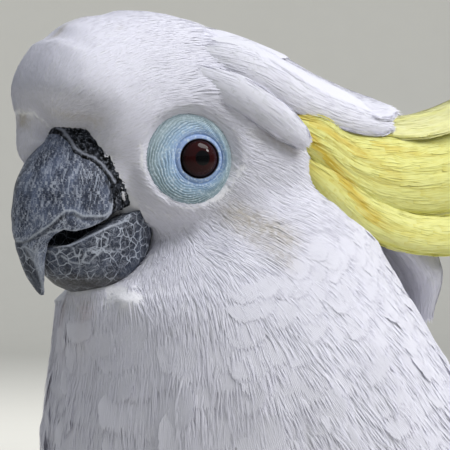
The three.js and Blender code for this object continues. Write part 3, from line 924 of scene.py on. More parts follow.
def mixed(tree, factor, first, second, blend="MIX"):
    """A colour between two colours."""
    return node(tree, "ShaderNodeMix", {0: factor, 6: first, 7: second},
                data_type="RGBA", blend_type=blend).outputs[2]


def layered(tree, colour, layers):
    """Lays colours over one another, each by how far its value is from low to high."""
    for value, low, high, most, code in layers:
        colour = mixed(tree, remap(tree, value, low, high, 0, most), colour, paint(code))
    return colour


def math_node(tree, operation, first, second=0.0):
    return node(tree, "ShaderNodeMath", {0: first, 1: second}, operation=operation).outputs[0]


def times(tree, first, second):
    return math_node(tree, "MULTIPLY", first, second)


def remap(tree, value, low, high, start=0.0, end=1.0):
    return node(tree, "ShaderNodeMapRange",
                {"Value": value, "From Min": low, "From Max": high,
                 "To Min": start, "To Max": end}).outputs["Result"]


def noise(tree, vector, size, detail=4.0, rough=0.55, longer=None, turn=0.0):
    """Noise whose features are about size millimetres across, longer along some axes."""
    if longer:
        vector = node(tree, "ShaderNodeMapping",
                      {"Vector": vector, "Scale": longer, "Rotation": (0, 0, turn)},
                      vector_type="TEXTURE").outputs[0]
    return node(tree, "ShaderNodeTexNoise",
                {"Vector": vector, "Scale": 1 / (size * MM), "Detail": detail,
                 "Roughness": rough}).outputs["Fac"]


def object_place(tree):
    """Places on the piece itself."""
    return node(tree, "ShaderNodeTexCoord").outputs["Object"]


def bumped(tree, shader, height, strength, depth):
    """Gives the surface a relief depth millimetres deep."""
    bump = node(tree, "ShaderNodeBump",
                {"Height": height, "Strength": strength, "Distance": depth * MM})
    tree.links.new(bump.outputs[0], shader.inputs["Normal"])


def point_value(tree, name):
    """A value stored at the points of the mesh."""
    return node(tree, "ShaderNodeAttribute", attribute_name=name).outputs["Fac"]


def stained_and_shadowed(tree, colour):
    """The plumage colour with its stains and painted shadows: tan, and pinkish on the throat."""
    place = object_place(tree)
    height = node(tree, "ShaderNodeSeparateXYZ", {0: place}).outputs[2]
    throat = remap(tree, height, to_world([0, 0, -30])[2], to_world([0, 0, -38])[2])
    tint = mixed(tree, throat, paint("#b9aa78"), paint("#c39a86"))
    fleck = remap(tree, noise(tree, place, 1.1), 0.35, 0.6, 0.35, 1.0)
    amount = times(tree, point_value(tree, "stain"), fleck)
    return mixed(tree, amount, colour, tint, "MULTIPLY")


def feather_material(name, lit, root, deep, pale, barbs=0):
    """Feather keratin: matt, a little translucent, finely lined, with painted shade towards each root,
    in the grooves and between the barb lines; the yellow plumes' deeper gold is partly their own colour.
    """
    material, tree, shader = new_material(name, Roughness=0.8, Sheen_Weight=0.2,
                                          Sheen_Roughness=0.5, Specular_IOR_Level=0.2)
    # Painted shade: each feather darkens from its lit colour to the root colour towards its root, where
    # the feathers over it would shade it.
    colour = mixed(tree, remap(tree, point_value(tree, "along"), 0.0, 0.35), rgba(root), rgba(lit))
    colour = mixed(tree, remap(tree, point_value(tree, "tone"), 0, 1, 0, 0.15), colour, rgba(root))
    # Painted shade in the grooves, towards the deep colour, which in yellow plumes is partly their own
    # gold; values below zero turn towards the pale colour.
    groove = point_value(tree, "groove")
    colour = mixed(tree, groove, colour, rgba(deep))
    colour = mixed(tree, times(tree, groove, -1.0), colour, rgba(pale))
    colour = stained_and_shadowed(tree, colour)
    if barbs:
        place = object_place(tree)
        bend = times(tree, noise(tree, place, 3.0, 2), 12.0)
        turns = times(tree, point_value(tree, "across"), 2 * math.pi * barbs)
        lines = math_node(tree, "SINE", math_node(tree, "ADD", turns, bend))
        strength = remap(tree, noise(tree, place, 5.0, 2), 0.4, 0.65, 0.15, 1.0)
        lines = times(tree, lines, strength)
        # Painted shade between the barbs: the lines darken the colour towards the deep colour.
        colour = mixed(tree, remap(tree, lines, 0.1, -1.0, 0, 0.2), colour, rgba(deep))
        bumped(tree, shader, lines, 0.35, 0.05)
    tree.links.new(colour, shader.inputs["Base Color"])
    glow = node(tree, "ShaderNodeBsdfTranslucent", {"Color": colour})
    blend = node(tree, "ShaderNodeMixShader",
                 {0: 0.22, 1: shader.outputs[0], 2: glow.outputs[0]})
    tree.links.new(blend.outputs[0], tree.nodes["Material Output"].inputs["Surface"])
    return material


def shared_material(name, make):
    """The material of that name, made the first time it is asked for."""
    return bpy.data.materials.get(name) or make()


def white_feather(name="white_feather_keratin", barbs=0):
    """White feather keratin: bright and matt, with grey painted shade at its roots and in its grooves.
    """
    plumage = bpy.context.scene.cockatoo_plumage
    return shared_material(name, lambda: feather_material(
        name, plumage.white, plumage.shade, linear("#b9b7bd"), plumage.white, barbs))


def yellow_feather(name="yellow_feather_keratin"):
    """Lemon yellow feather keratin: golden at its roots and streaks, partly its own colour and partly
    painted shade, and paler on some groups of plumes.
    """
    plumage = bpy.context.scene.cockatoo_plumage
    return shared_material(name, lambda: feather_material(
        name, plumage.yellow, linear("#e6e07e"), plumage.deep_yellow, linear("#f4f2cf")))


def horn_material():
    """Bill horn: blue-grey keratin, scratched along its growth, powdered, cracked and worn."""
    face = bpy.context.scene.cockatoo_face
    material, tree, shader = new_material("bill_keratin", Roughness=0.5, Specular_IOR_Level=0.35)
    place = object_place(tree)
    grain = node(tree, "ShaderNodeAttribute", attribute_name="grain").outputs["Vector"]
    cloudy = noise(tree, place, 5.0, 5)
    speckle = noise(tree, place, 0.42, 2, 0.6)
    growth = noise(tree, grain, 0.4, 2, 0.5, (1, 8, 1))
    scratches = noise(tree, grain, 0.36, 2, 0.5, (1, 8, 1), 0.75)
    crossed = noise(tree, grain, 0.36, 2, 0.5, (1, 8, 1), -0.55)
    drift = node(tree, "ShaderNodeTexNoise", {"Vector": place, "Scale": 1 / (2.2 * MM)})
    warped = node(tree, "ShaderNodeVectorMath",
                  {0: drift.outputs["Color"], 1: (1.6 * MM,) * 3, 2: place},
                  operation="MULTIPLY_ADD").outputs[0]
    network = node(tree, "ShaderNodeTexVoronoi", {"Vector": warped, "Scale": 1 / (2.4 * MM)},
                   feature="DISTANCE_TO_EDGE").outputs["Distance"]
    horn = mixed(tree, remap(tree, cloudy, 0.4, 0.65), paint("#2a3144"), rgba(face.horn))
    horn = layered(tree, horn, [
        (noise(tree, grain, 3.2, 2, 0.5, (1, 7, 1)), 0.45, 0.6, 0.55, "#232733")])
    horn = mixed(tree, remap(tree, speckle, 0.52, 0.66, 0, 0.55), horn, rgba(face.powder))
    horn = layered(tree, horn, [(growth, 0.55, 0.64, 0.7, "#aab1c2"),
                                (scratches, 0.56, 0.64, 0.75, "#b4bac9"),
                                (crossed, 0.57, 0.65, 0.7, "#b9becb")])
    horn = mixed(tree, times(tree, point_value(tree, "dark"), 0.85), horn, paint("#10131b"))
    patchy = remap(tree, noise(tree, place, 4.0), 0.38, 0.55)
    lines = times(tree, remap(tree, network, 0.06, 0.02),
                      point_value(tree, "worn"))
    lines = times(tree, lines, patchy)
    horn = mixed(tree, times(tree, lines, 0.9), horn, paint("#bcc2cf"))
    for name, tint in (("brown", "#56534f"), ("pale", "#b4bac6"), ("crack", "#0d0e12"),
                       ("tan", "#8d7a68")):
        horn = mixed(tree, point_value(tree, name), horn, paint(tint))
    tree.links.new(horn, shader.inputs["Base Color"])
    height = math_node(tree, "ADD", math_node(tree, "ADD", growth, scratches), crossed)
    bumped(tree, shader, height, 0.6, 0.12)
    tree.links.new(remap(tree, growth, 0.3, 0.8, 0.4, 0.62), shader.inputs["Roughness"])
    return material


def cere_material():
    """Cere: thick black skin with a pebbled, dusty surface and a pale rim of horn."""
    material, tree, shader = new_material("cere_leather", Roughness=0.85, Specular_IOR_Level=0.08)
    place = object_place(tree)
    grain = noise(tree, place, 1.8, 3, 0.6)
    flecks = noise(tree, place, 0.7, 2, 0.6)
    colour = mixed(tree, remap(tree, grain, 0.45, 0.65), paint("#0b0c0e"),
                   paint("#3a3d45"))
    colour = mixed(tree, remap(tree, flecks, 0.55, 0.65, 0, 0.5), colour, paint("#8b8f99"))
    colour = mixed(tree, point_value(tree, "pale"), colour, paint("#9a9eaa"))
    tree.links.new(colour, shader.inputs["Base Color"])
    height = math_node(tree, "ADD", grain, flecks)
    bumped(tree, shader, height, 0.7, 0.3)
    return material


def ring_material():
    """Bare eye skin: soft blue, waxy, paler on its pimples, with painted shade in its wrinkles and lid
    groove, greenish in the outer ones, and painted shade towards its lower side.
    """
    face = bpy.context.scene.cockatoo_face
    material, tree, shader = new_material(
        "bare_eye_skin", Roughness=0.55, Specular_IOR_Level=0.3)
    place = object_place(tree)
    out = point_value(tree, "ring_radius")
    fold = point_value(tree, "fold")
    colour = mixed(tree, remap(tree, out, 5.6, 7.6), rgba(face.ring_inner),
                   paint("#a6c1da"))
    colour = mixed(tree, remap(tree, out, 7.6, 9.8), colour, rgba(face.ring_outer))
    height = node(tree, "ShaderNodeSeparateXYZ", {0: place}).outputs["Z"]
    # Painted shade: the first layer darkens the ring towards its lower side; the second pales it in a
    # fine mottle.
    colour = layered(tree, colour, [
        (height, RING_MIDDLE + 6 * MM, RING_MIDDLE - 8 * MM, 0.4, "#6f8a9a"),
        (noise(tree, place, 0.7, 2), 0.5, 0.62, 0.6, "#d3e2ea")])
    # Painted shade in the troughs of the wrinkles and in the lid groove, greener in the outer ones.
    crease = mixed(tree, remap(tree, out, 6.5, 10.0), paint("#6d8ab8"),
                   paint("#586b6c"))
    colour = mixed(tree, times(tree, fold, 0.75), colour, crease)
    colour = layered(tree, colour, [(out, 5.15, 4.95, 1, "#15161c")])
    tree.links.new(colour, shader.inputs["Base Color"])
    grain = noise(tree, place, 0.5, 4)
    bumped(tree, shader, grain, 0.4, 0.15)
    return material


def eye_material():
    """Wet eye: dark red-brown iris round a black pupil under a glossy film."""
    face = bpy.context.scene.cockatoo_face
    material, tree, shader = new_material("wet_eye", Roughness=0.4, Specular_IOR_Level=0.0,
                                          Coat_Weight=1.0, Coat_Roughness=0.02, Coat_IOR=1.27)
    out = point_value(tree, "iris_radius")
    rays = node(tree, "ShaderNodeTexNoise",
                {"W": point_value(tree, "iris_turn"), "Scale": 26.0, "Detail": 3.0},
                noise_dimensions="1D").outputs["Fac"]
    colour = mixed(tree, remap(tree, rays, 0.3, 0.7), paint("#2a090b"), rgba(face.iris))
    colour = layered(tree, colour, [
        (out, face.iris_radius - 0.9, face.iris_radius, 1, "#0e0607"),
        (out, face.pupil_radius + 0.15, face.pupil_radius - 0.15, 1, "#040507")])
    tree.links.new(colour, shader.inputs["Base Color"])
    return material


def foot_material():
    """Foot skin: grey scales with pale powder in the creases."""
    material, tree, shader = new_material("scaled_foot_skin", Roughness=0.7, Specular_IOR_Level=0.3)
    place = object_place(tree)
    scales = node(tree, "ShaderNodeTexVoronoi", {"Vector": place, "Scale": 1 / (1.5 * MM)},
                  feature="DISTANCE_TO_EDGE").outputs["Distance"]
    crease = remap(tree, scales, 0.0, 0.12)
    cloudy = noise(tree, place, 4.0)
    colour = mixed(tree, cloudy, paint("#55565c"), paint("#3a3b40"))
    colour = mixed(tree, crease, paint("#85868c"), colour)
    tree.links.new(colour, shader.inputs["Base Color"])
    bumped(tree, shader, crease, 0.7, 0.3)
    return material


def claw_material():
    """Claw horn: near black, polished by wear, with fine growth lines."""
    material, tree, shader = new_material("claw_keratin", Roughness=0.35, Specular_IOR_Level=0.5)
    place = object_place(tree)
    lines = noise(tree, place, 0.7, 3, 0.5, (1.0, 0.2, 1.0))
    colour = mixed(tree, lines, paint("#1d1d20"), paint("#4a4a4f"))
    tree.links.new(colour, shader.inputs["Base Color"])
    bumped(tree, shader, lines, 0.3, 0.1)
    return material


def skin_material():
    """Skin under the coat: pale and matt, so gaps between feathers stay white."""
    plumage = bpy.context.scene.cockatoo_plumage
    material, tree, shader = new_material("feathered_skin", Roughness=0.9, Specular_IOR_Level=0.2)
    place = object_place(tree)
    down = noise(tree, place, 0.8, 5)
    colour = mixed(tree, down, rgba(plumage.shade), rgba(plumage.skin))
    tree.links.new(stained_and_shadowed(tree, colour), shader.inputs["Base Color"])
    bumped(tree, shader, down, 0.4, 0.3)
    return material


def stage_material():
    """Studio paper: matt and even, with a faint tooth."""
    stage = bpy.context.scene.cockatoo_stage
    material, tree, shader = new_material("studio_paper", Roughness=0.95, Specular_IOR_Level=0.1)
    place = object_place(tree)
    tooth = noise(tree, place, 40.0, 2)
    pale = tuple(min(1.0, channel * 1.04) for channel in stage.floor)
    colour = mixed(tree, tooth, rgba(stage.floor), rgba(pale))
    tree.links.new(colour, shader.inputs["Base Color"])
    return material


# ---------------------------------------------------------------- pieces

def coat_depth(points):
    """How far the skin lies under the frame's surface."""
    _, _, length = along_spine(points)
    depth = np.interp(length, [0, 25, 45, 70, 110, 300], [0.1, 0.1, 0.4, 0.8, 1.1, 1.7])
    return np.minimum(depth, 0.25 + 0.25 * np.maximum(bill_gap(points)[0], 0))


# The cone under each eye ring: radii at its foot and top, height, and how far out it sits.
PAD_FOOT, PAD_TOP, PAD_HEIGHT, PAD_OUT = 19, 12.4, 8.2, 1.1
COLLAR_THICKNESS = 0.8
COLLAR_SETBACK = 1.0
# The skin goes this far inside the bill where the horn is bare.
UNDER_HORN = 1.9


def eye_pad(side):
    """A low cone under the eye ring that brings the cheek up to its edge."""
    pad = bmesh.new()
    bmesh.ops.create_cone(pad, cap_ends=True, segments=64, radius1=PAD_FOOT * MM,
                          radius2=PAD_TOP * MM, depth=PAD_HEIGHT * MM)
    centre = EYE_CENTRE + RING_SET_FORWARD * EYE_FORWARD + PAD_OUT * EYE_AXIS
    turn = Vector(EYE_AXIS * [side, 1, 1]).to_track_quat("Z", "Y").to_matrix().to_4x4()
    place = Matrix.Translation(to_world(centre * [side, 1, 1]))
    bmesh.ops.transform(pad, matrix=place @ turn, verts=pad.verts)
    return pad


def bill_collar():
    """The back of the upper bill, thickened, for the skin that laps over the cere."""
    collar = loft_shell(UPPER_BILL, 40, 48, COLLAR_THICKNESS)
    (line_y, line_z), tilt = CERE_LINE
    way = Vector((0, -math.sin(tilt), math.cos(tilt)))
    bmesh.ops.bisect_plane(
        collar, geom=collar.verts[:] + collar.edges[:] + collar.faces[:],
        plane_co=to_world([0, line_y, line_z]) + np.array(way) * COLLAR_SETBACK * MM,
        plane_no=way, clear_inner=True)
    rim = [edge for edge in collar.edges if edge.is_boundary]
    bmesh.ops.holes_fill(collar, edges=rim, sides=0)
    return collar


# Ruffled forehead feathers that hang over the bill on the right side.
LOBE_CENTRE = np.array([-6.6, -32.2, 5.0])
LOBE_SIZE = np.array([5.0, 4.2, 7.6])
# Feathered chin filling the corner between the lower bill and the throat.
CHIN_CENTRE = np.array([0.0, -16.0, -41.0])
CHIN_SIZE = np.array([14.0, 12.5, 12.0])


def soft_lump(centre, size):
    """A rounded swelling of feathers: over the bill on the right, and under the chin."""
    lump = bmesh.new()
    bmesh.ops.create_uvsphere(lump, u_segments=32, v_segments=24, radius=1.0)
    bmesh.ops.scale(lump, verts=lump.verts, vec=size * MM)
    bmesh.ops.translate(lump, verts=lump.verts, vec=to_world(centre))
    return lump


# Soft folds of the skin: stations down the middle of each, its height and half width.
SKIN_FOLDS = [
    ([(17.5, -2, 17.5), (19.3, 4.3, 16.7), (20.3, 7.6, 14.9), (21.5, 10.3, 11.8), (22.4, 12.7, 8.8),
      (22.7, 14.0, 6.9)], 1.3, 2.2),
    ([(3, -35.5, 14), (3, -34.5, 18), (3, -32.5, 22), (3, -28, 27)], 1.2, 8.0),
    ([(0, -15, 34.5), (0, -6, 36.0), (0, 5, 35.5)], 0.6, 10.0),
    ([(0, -28, 29.5), (0, -24, 32.0), (0, -19, 34.0)], 0.7, 5.5),
    ([(5.5, -16.5, -30.0), (5.2, -22.0, -39.0), (5.0, -22.0, -50.0)], -0.7, 1.8),
]


def folded_skin(points, normals):
    """Raises the soft folds beside the brow and sinks the groove of the throat."""
    folded = folded_left(points)
    for stations, height, half_width in SKIN_FOLDS:
        line = spline(stations, np.linspace(0, 1, 40))
        near = np.linalg.norm(folded[:, None] - line[None], axis=2)
        step = np.argmin(near, axis=1)
        end = smooth_step(0, 8, step) * smooth_step(39, 35, step)
        amount = height * np.exp(-(near.min(axis=1) / half_width) ** 2) * end
        points = points + normals * amount[:, None]
    return points


# Where the face feathers end over the bill: places along the bird and their heights.
FEATHER_EDGE = np.array([
    (-60, 10.3), (-29.5, 10.1), (-27.9, 9.0), (-26.2, 6.4), (-24.1, 3.1), (-21.6, 0.2),
    (-19.8, -2.8), (-17.9, -6.3), (-14.5, -10.5), (-12.6, -13.1),
])


def bared_bill(points):
    """Draws the skin down into the bill in front of the line where the feathers end."""
    edge = np.interp(points[:, 1], *FEATHER_EDGE.T)
    below = smooth_step(-2.5, 3.0, edge - points[:, 2]) * smooth_step(-14, -12.5, points[:, 2])
    lobe = np.linalg.norm((points - LOBE_CENTRE) / (LOBE_SIZE * [1.0, 1.3, 1.7]), axis=1)
    below = below * smooth_step(1.1, 1.4, lobe)
    below[bill_gap(points)[0] > 8] = 0
    wanted = np.flatnonzero(below > 0)
    moved = points[wanted]
    for _ in range(5):
        gap, way = bill_gap(moved)
        level = unit(way * [1, 1, 0.1] + [0, 1e-6, 0])
        moved = moved + level * np.maximum(gap, 0)[:, None]
    moved = moved + bill_gap(moved)[1] * UNDER_HORN
    shifted = points.copy()
    shifted[wanted] += (moved - points[wanted]) * below[wanted, None]
    return shifted


def under_rings(points):
    """Sinks the skin under the bare eye skin, with a step at its edge."""
    out, height = ring_place(points)
    ceiling = np.interp(out, [0, 10.2, 11.3, 13.0, 15.0], [3.0, 3.1, 4.0, 5.6, 12.0])
    drop = np.where(out < 15.0, np.maximum(height - ceiling, 0), 0)
    return points - EYE_AXIS * outward_sides(points) * drop[:, None]


def eased(data, points):
    """Smooths the skin under the chin and along the feather edge over the bill."""
    ends = np.empty(2 * len(data.edges), int)
    data.edges.foreach_get("vertices", ends)
    first, second = ends.reshape(-1, 2).T
    count = np.bincount(ends, minlength=len(points))
    height, ahead = points[:, 2], points[:, 1]
    chin = smooth_step(-56, -46, height) * smooth_step(-24, -30, height) * smooth_step(26, 12, ahead)
    lip = np.exp(-((height - 10.5) / 4) ** 2) * smooth_step(-20, -26, ahead)
    lip = lip * np.where(points[:, 0] > -2, 0.5, 0.2)
    share = np.where(np.abs(height - 10.5) < 12, lip, chin)
    share = share * smooth_step(0.3, 2.0, bill_gap(points)[0])
    for _ in range(60):
        mean = np.stack([np.bincount(first, points[second, axis], len(points))
                         + np.bincount(second, points[first, axis], len(points))
                         for axis in range(3)], axis=1) / count[:, None]
        points = points + share[:, None] * (mean - points)
    return points


class COCKATOO_OT_skin(bpy.types.Operator):
    """One skin over head, neck, trunk, thighs and wing arms"""

    bl_idname = "cockatoo.skin"
    bl_label = "Skin"

    def execute(self, context):
        shells = node_shells(FLESH_NODES, 0.35)
        lumps = [soft_lump(LOBE_CENTRE, LOBE_SIZE), soft_lump(CHIN_CENTRE, CHIN_SIZE)]
        for part in [eye_pad(side) for side in SIDES.values()] + [bill_collar()] + lumps:
            merge_into(shells, part)
        data = remeshed(shells, SKIN_VOXEL, 8)
        points, normals = to_eye_frame(mesh_points(data)), mesh_normals(data)
        near = np.linalg.norm(points - [0, 0, -10], axis=1) < 60
        points[near] = folded_skin(points[near], normals[near])
        points -= normals * coat_depth(points)[:, None]
        points = under_rings(eased(data, bared_bill(points)))
        set_points(data, to_world(points))
        add_point_values(data, "stain", stain_and_shadow_at(points))
        material = shared_material("feathered_skin", skin_material)
        add_piece("skin", data, material, FLESH_NODES)
        return {"FINISHED"}


def face_roots(points):
    """Where the short face tufts grow."""
    _, _, length = along_spine(points)
    out, height = ring_place(points)
    off_ring = (out > 10.75) | (height < -14)
    return (length < 150) & off_ring & (points[:, 2] > -92)


def add_tufts(coat, skin, draw, roots, lengths, widths, rise, templates, camber=0.0, steps=2,
              spread=0.11):
    """Lays tufts along the lie of the coat and adds them to it."""
    headings = headings_at(roots)
    headings = unit(headings + draw.normal(0, spread, headings.shape))
    shafts, normals = skin.shafts(roots, headings, lengths, rise, steps)
    choice = draw.integers(0, len(templates), len(roots))
    tones = draw.random(len(roots))
    for number, template in enumerate(templates):
        pick = np.flatnonzero(choice == number)
        laid = shaped_feathers(template, shafts[pick], normals[pick], widths[pick], camber)
        coat.add(template, laid, roots[pick], tones[pick], np.zeros(len(pick)))


# Places where the crest's locks rise out of the crown.
CREST_STARTS = np.array([(16.5, 0.5, 21.3), (17.5, -1, 19.0), (15.0, 1.0, 28.5), (12, 2, 31),
                         (6, 3.5, 33.0), (0, 4, 34)])


class COCKATOO_OT_face(bpy.types.Operator):
    """Fine tufts over the forehead, crown, cheeks and throat"""

    bl_idname = "cockatoo.face"
    bl_label = "Face feathers"

    def execute(self, context):
        plumage = context.scene.cockatoo_plumage
        draw = np.random.default_rng(plumage.seed)
        skin = Skin()

        def spacing(points):
            _, _, length = along_spine(points)
            return plumage.face_spacing * np.interp(length, [0, 30, 75, 104, 150],
                                                     [0.85, 1.0, 1.35, 2.7, 3.6])

        roots, _ = skin.scattered(draw, 110_000, face_roots, spacing)
        gap, _ = bill_gap(roots)
        roots, gap = roots[gap > 0.1], gap[gap > 0.1]
        _, _, length = along_spine(roots)
        reach = np.interp(length, [0, 12, 35, 60, 92, 150], [2.2, 3.4, 4.6, 7.0, 9.0, 12.0])
        reach = reach * draw.uniform(0.8, 1.25, len(roots)) * np.interp(gap, [0, 4], [0.55, 1])
        width = np.interp(length, [0, 30, 75, 150], [0.55, 0.7, 1.0, 2.0])
        templates = [tuft_template(draw, 5, 0.17, 0.4, 0.3) for _ in range(10)]
        top = np.interp(length, [0, 35, 75, 104, 150], [0.16, 0.2, 0.35, 0.8, 1.1])
        top = top * draw.uniform(0.6, 1.4, len(roots))
        before = np.linalg.norm(folded_left(roots)[:, None] - CREST_STARTS[None], axis=2).min(axis=1)
        cover = np.exp(-(before / 4.5) ** 2)
        reach, top = reach * (1 + cover), top + 1.1 * cover

        def rise(share):
            return top[:, None] * share[None] ** 0.8 + 0.04

        coat = Coat("face_feathers", white_feather(), "feather_white")
        add_tufts(coat, skin, draw, roots, reach, width, rise, templates, spread=0.08)
        coat.write()
        return {"FINISHED"}


class COCKATOO_OT_body_coat(bpy.types.Operator):
    """Rounded barbed feathers over the neck, body, thighs and wing arms"""

    bl_idname = "cockatoo.body_coat"
    bl_label = "Neck and body feathers"

    def execute(self, context):
        plumage = context.scene.cockatoo_plumage
        draw = np.random.default_rng(plumage.seed + 1)
        skin = Skin()

        def spacing(points):
            _, _, length = along_spine(points)
            leg = smooth_step(-150, -172, points[:, 2])
            gap = np.interp(length, [70, 90, 130, 180],
                            [plumage.neck_spacing * 0.5, plumage.neck_spacing * 0.75,
                             plumage.neck_spacing, plumage.body_spacing])
            return gap * (1 - 0.6 * leg)

        def wanted(points):
            _, _, length = along_spine(points)
            ragged = 3.0 * np.sin(0.9 * points[:, 0] + 1.3 * points[:, 1])
            below = (points[:, 2] < -40 + ragged) | (points[:, 1] > 0)
            inside = (points[:, 2] > -187) & (points[:, 1] < 185)
            return (length > 76 + ragged) & inside & below

        roots, _ = skin.scattered(draw, 40_000, wanted, spacing)
        roots = roots[bill_gap(roots)[0] > 0.3]
        _, _, length = along_spine(roots)
        leg = smooth_step(-150, -172, roots[:, 2])
        reach = np.interp(length, [70, 90, 120, 180, 250], [7.5, 12, 16.5, 23, 28])
        reach = reach * (1 - 0.62 * leg) * draw.uniform(0.85, 1.2, len(roots))
        width = np.interp(length, [70, 90, 120, 180, 250], [3.6, 5.6, 7.4, 9.0, 10])
        width = width * (1 - 0.6 * leg)
        top = np.interp(length, [70, 90, 120, 200], [0.1, 0.16, 0.28, 0.8])
        top = top * draw.uniform(0.5, 1.5, len(roots))
        near = length < 135
        for name, pick, fringe in (("neck_feathers", near, 34), ("body_feathers", ~near, 24)):
            templates = [contour_template(draw, fringe) for _ in range(10)]
            coat = Coat(name, white_feather("contour_feather_keratin", barbs=14), "feather_white")
            chosen = np.flatnonzero(pick)
            heights = top[chosen]

            def lifted(share, heights=heights):
                sunk = 0.9 * smooth_step(0.0, 0.45, share[None]) - 0.55
                return sunk + heights[:, None] * share[None] ** 1.6

            add_tufts(coat, skin, draw, roots[chosen], reach[chosen], width[chosen], lifted,
                      templates, camber=0.013, steps=5)
            coat.write()
        return {"FINISHED"}


# Crest feathers: finish, stations of centre, half across, half through and bow, number of
# plumes, height of their ridges, and a shift towards the pale (below 0) colour.
CREST = {
    "crest_white_middle": ("white", [
        ([0, 4, 33.4], [8, 0, 0], [0, 0.2, 1.6], 2),
        ([0, 20, 29.8], [12, 0, 0], [0, 0.7, 1.9], 4),
        ([0, 33, 25.6], [15, 0, 0], [0, 0.9, 1.8], 7),
        ([0, 46, 20.2], [16, 0, 0], [0, 0.7, 1.6], 7),
        ([0, 58, 16.6], [14, 0, 0], [0, 0.3, 1.3], 6),
        ([0, 66, 14.8], [11, 0, 0], [0, 0.2, 1.0], 4),
        ([0, 69, 14.2], [8, 0, 0], [0, 0.1, 0.6], 2),
    ], 3, 0.15, 0.0),
    "crest_white_SIDE": ("white", [
        ([14.5, 2, 28.3], [2.5, -0.5, -3.5], [1.1, 0.2, 1.0], 0.6),
        ([19.8, 14, 23.6], [2.8, -1, -5.0], [1.3, 0.3, 1.1], 1.2),
        ([20.8, 28, 17.4], [2.6, -1.5, -4.8], [1.3, 0.3, 0.9], 1.4),
        ([17.2, 42, 13.4], [2.4, -1, -4.4], [1.2, 0.2, 0.7], 1.2),
        ([13.5, 55, 10.6], [2.0, 0, -3.6], [0.9, 0.2, 0.5], 0.8),
        ([11.5, 62, 9.4], [1.4, 0, -2.4], [0.6, 0.1, 0.4], 0.4),
        ([11.0, 64, 9.2], [0.8, 0, -1.5], [0.5, 0.1, 0.3], 0),
    ], 1, 0.15, 0.0),
    "crest_brow_SIDE": ("white", [
        ([18.3, -1, 21.0], [0.5, 1.5, 2.5], [1.1, 0, -0.2], 0.2),
        ([23.2, 9, 16.0], [0.5, 2.2, 3.5], [1.5, 0, -0.2], 0.4),
        ([26.0, 19, 9.6], [0.3, 2.3, 3.4], [1.5, 0, -0.2], 0.4),
        ([26.2, 25.0, 5.4], [0.1, 1.8, 2.4], [1.2, 0, -0.2], 0.2),
        ([25.8, 27.2, 3.8], [0.1, 1.0, 1.4], [0.7, 0, -0.1], 0),
    ], 1, 0.1, 0.0),
    "crest_yellow_middle": ("yellow", [
        ([0, 42, 14.0], [7, 0, 0], [0, 0.5, 1.0], 2),
        ([0, 58, 10.4], [11, 0, 0], [0, 0.3, 1.1], 4),
        ([0, 74, 10.2], [12, 0, 0], [0, 0, 1.1], 4),
        ([0, 90, 13.4], [11, 0, 0], [0, -0.4, 1.0], 3),
        ([0, 105, 20.0], [8, 0, 0], [0, -0.5, 0.8], 2),
        ([0, 117, 28], [3, 0, 0], [0, -0.4, 0.5], 0),
    ], 3, 0.25, -0.5),
    "crest_yellow_SIDE_upper": ("yellow", [
        ([23.0, 23.5, 10.0], [0.2, -1, -2.8], [1.0, 0.2, 0.2], 0.3),
        ([22.4, 34, 5.2], [0.8, -1.5, -5.4], [1.1, 0.4, 0.2], 0.8),
        ([18.5, 48, -0.5], [1.8, 0, -8.0], [1.0, 0.2, 0.2], 1.5),
        ([15.5, 64, -3], [2.0, 0, -9.5], [1.0, 0.2, 0.2], 2),
        ([12.5, 82, -2.5], [2.0, 1, -9.5], [1.0, 0.2, 0.2], 2),
        ([10, 99, 3], [1.6, 2.5, -7], [0.9, 0.2, 0.2], 1.2),
        ([8.5, 113, 11], [0.7, 1.8, -3], [0.6, 0.1, 0.2], 0.3),
    ], 4, 0.2, -0.05),
    "crest_yellow_SIDE_lower": ("yellow", [
        ([23.4, 29, 0.5], [0.3, -1, -2.2], [1.0, 0.3, 0.1], 0.3),
        ([22.6, 39, -7.5], [0.9, -2, -4.0], [1.1, 0.4, 0.1], 0.8),
        ([19.8, 53, -14.5], [1.4, -2, -5.0], [1.0, 0.2, 0.1], 1.2),
        ([17.2, 69, -18.5], [1.4, -0.5, -5.0], [1.0, 0.2, 0.1], 1.2),
        ([14.8, 85, -18.5], [1.2, 0.8, -4.5], [0.9, 0.2, 0.1], 1.0),
        ([12.8, 100, -14.5], [0.6, 1.2, -2.8], [0.7, 0.1, 0.1], 0.4),
        ([12.0, 106, -12], [0.3, 0.6, -1.2], [0.5, 0.1, 0.1], 0),
    ], 2, 0.2, -0.1),
    "crest_nape": ("white", [
        ([0, 40, -2], [9, 0, 0], [0, 3.0, 2.4], 3),
        ([0, 57, -9.5], [12, 0, 0], [0, 4.2, 4.0], 5),
        ([0, 72, -18], [13, 0, 0], [0, 5.2, 3.6], 5),
        ([0, 81, -29], [11, 0, 0], [0, 5.4, 2.0], 3),
        ([0, 82, -40], [5, 0, 0], [0, 2.6, 0.6], 1),
    ], 3, 0.2, 0.0),
}


def on_loft(loft, template, start, end, across_start, across_end, width, rise, side):
    """One long feather on a loft's outer face, from a start share to an end share."""
    points, _ = template
    along = start + (end - start) * points[:, 1]
    half = loft.half_width(along)
    run = np.subtract(loft.at[-1], loft.at[0])
    handed = -np.sign(np.dot(np.cross(run, loft.a[1]), loft.b[1]))
    middle = across_start + (across_end - across_start) * points[:, 1]
    across = middle + handed * side * points[:, 0] * width / half
    height = rise(points[:, 1]) + points[:, 2]
    places, out = loft.face(along, across, height)
    ahead = unit(loft.face(along + 0.01, across, height)[0] - loft.face(along - 0.01, across, height)[0])
    aside = unit(np.cross(ahead, out)) * side
    shading = out + aside * points[:, 3, None] + ahead * points[:, 4, None]
    mirror = np.array([side, 1, 1])
    return (places * mirror)[None], (unit(shading) * mirror)[None]


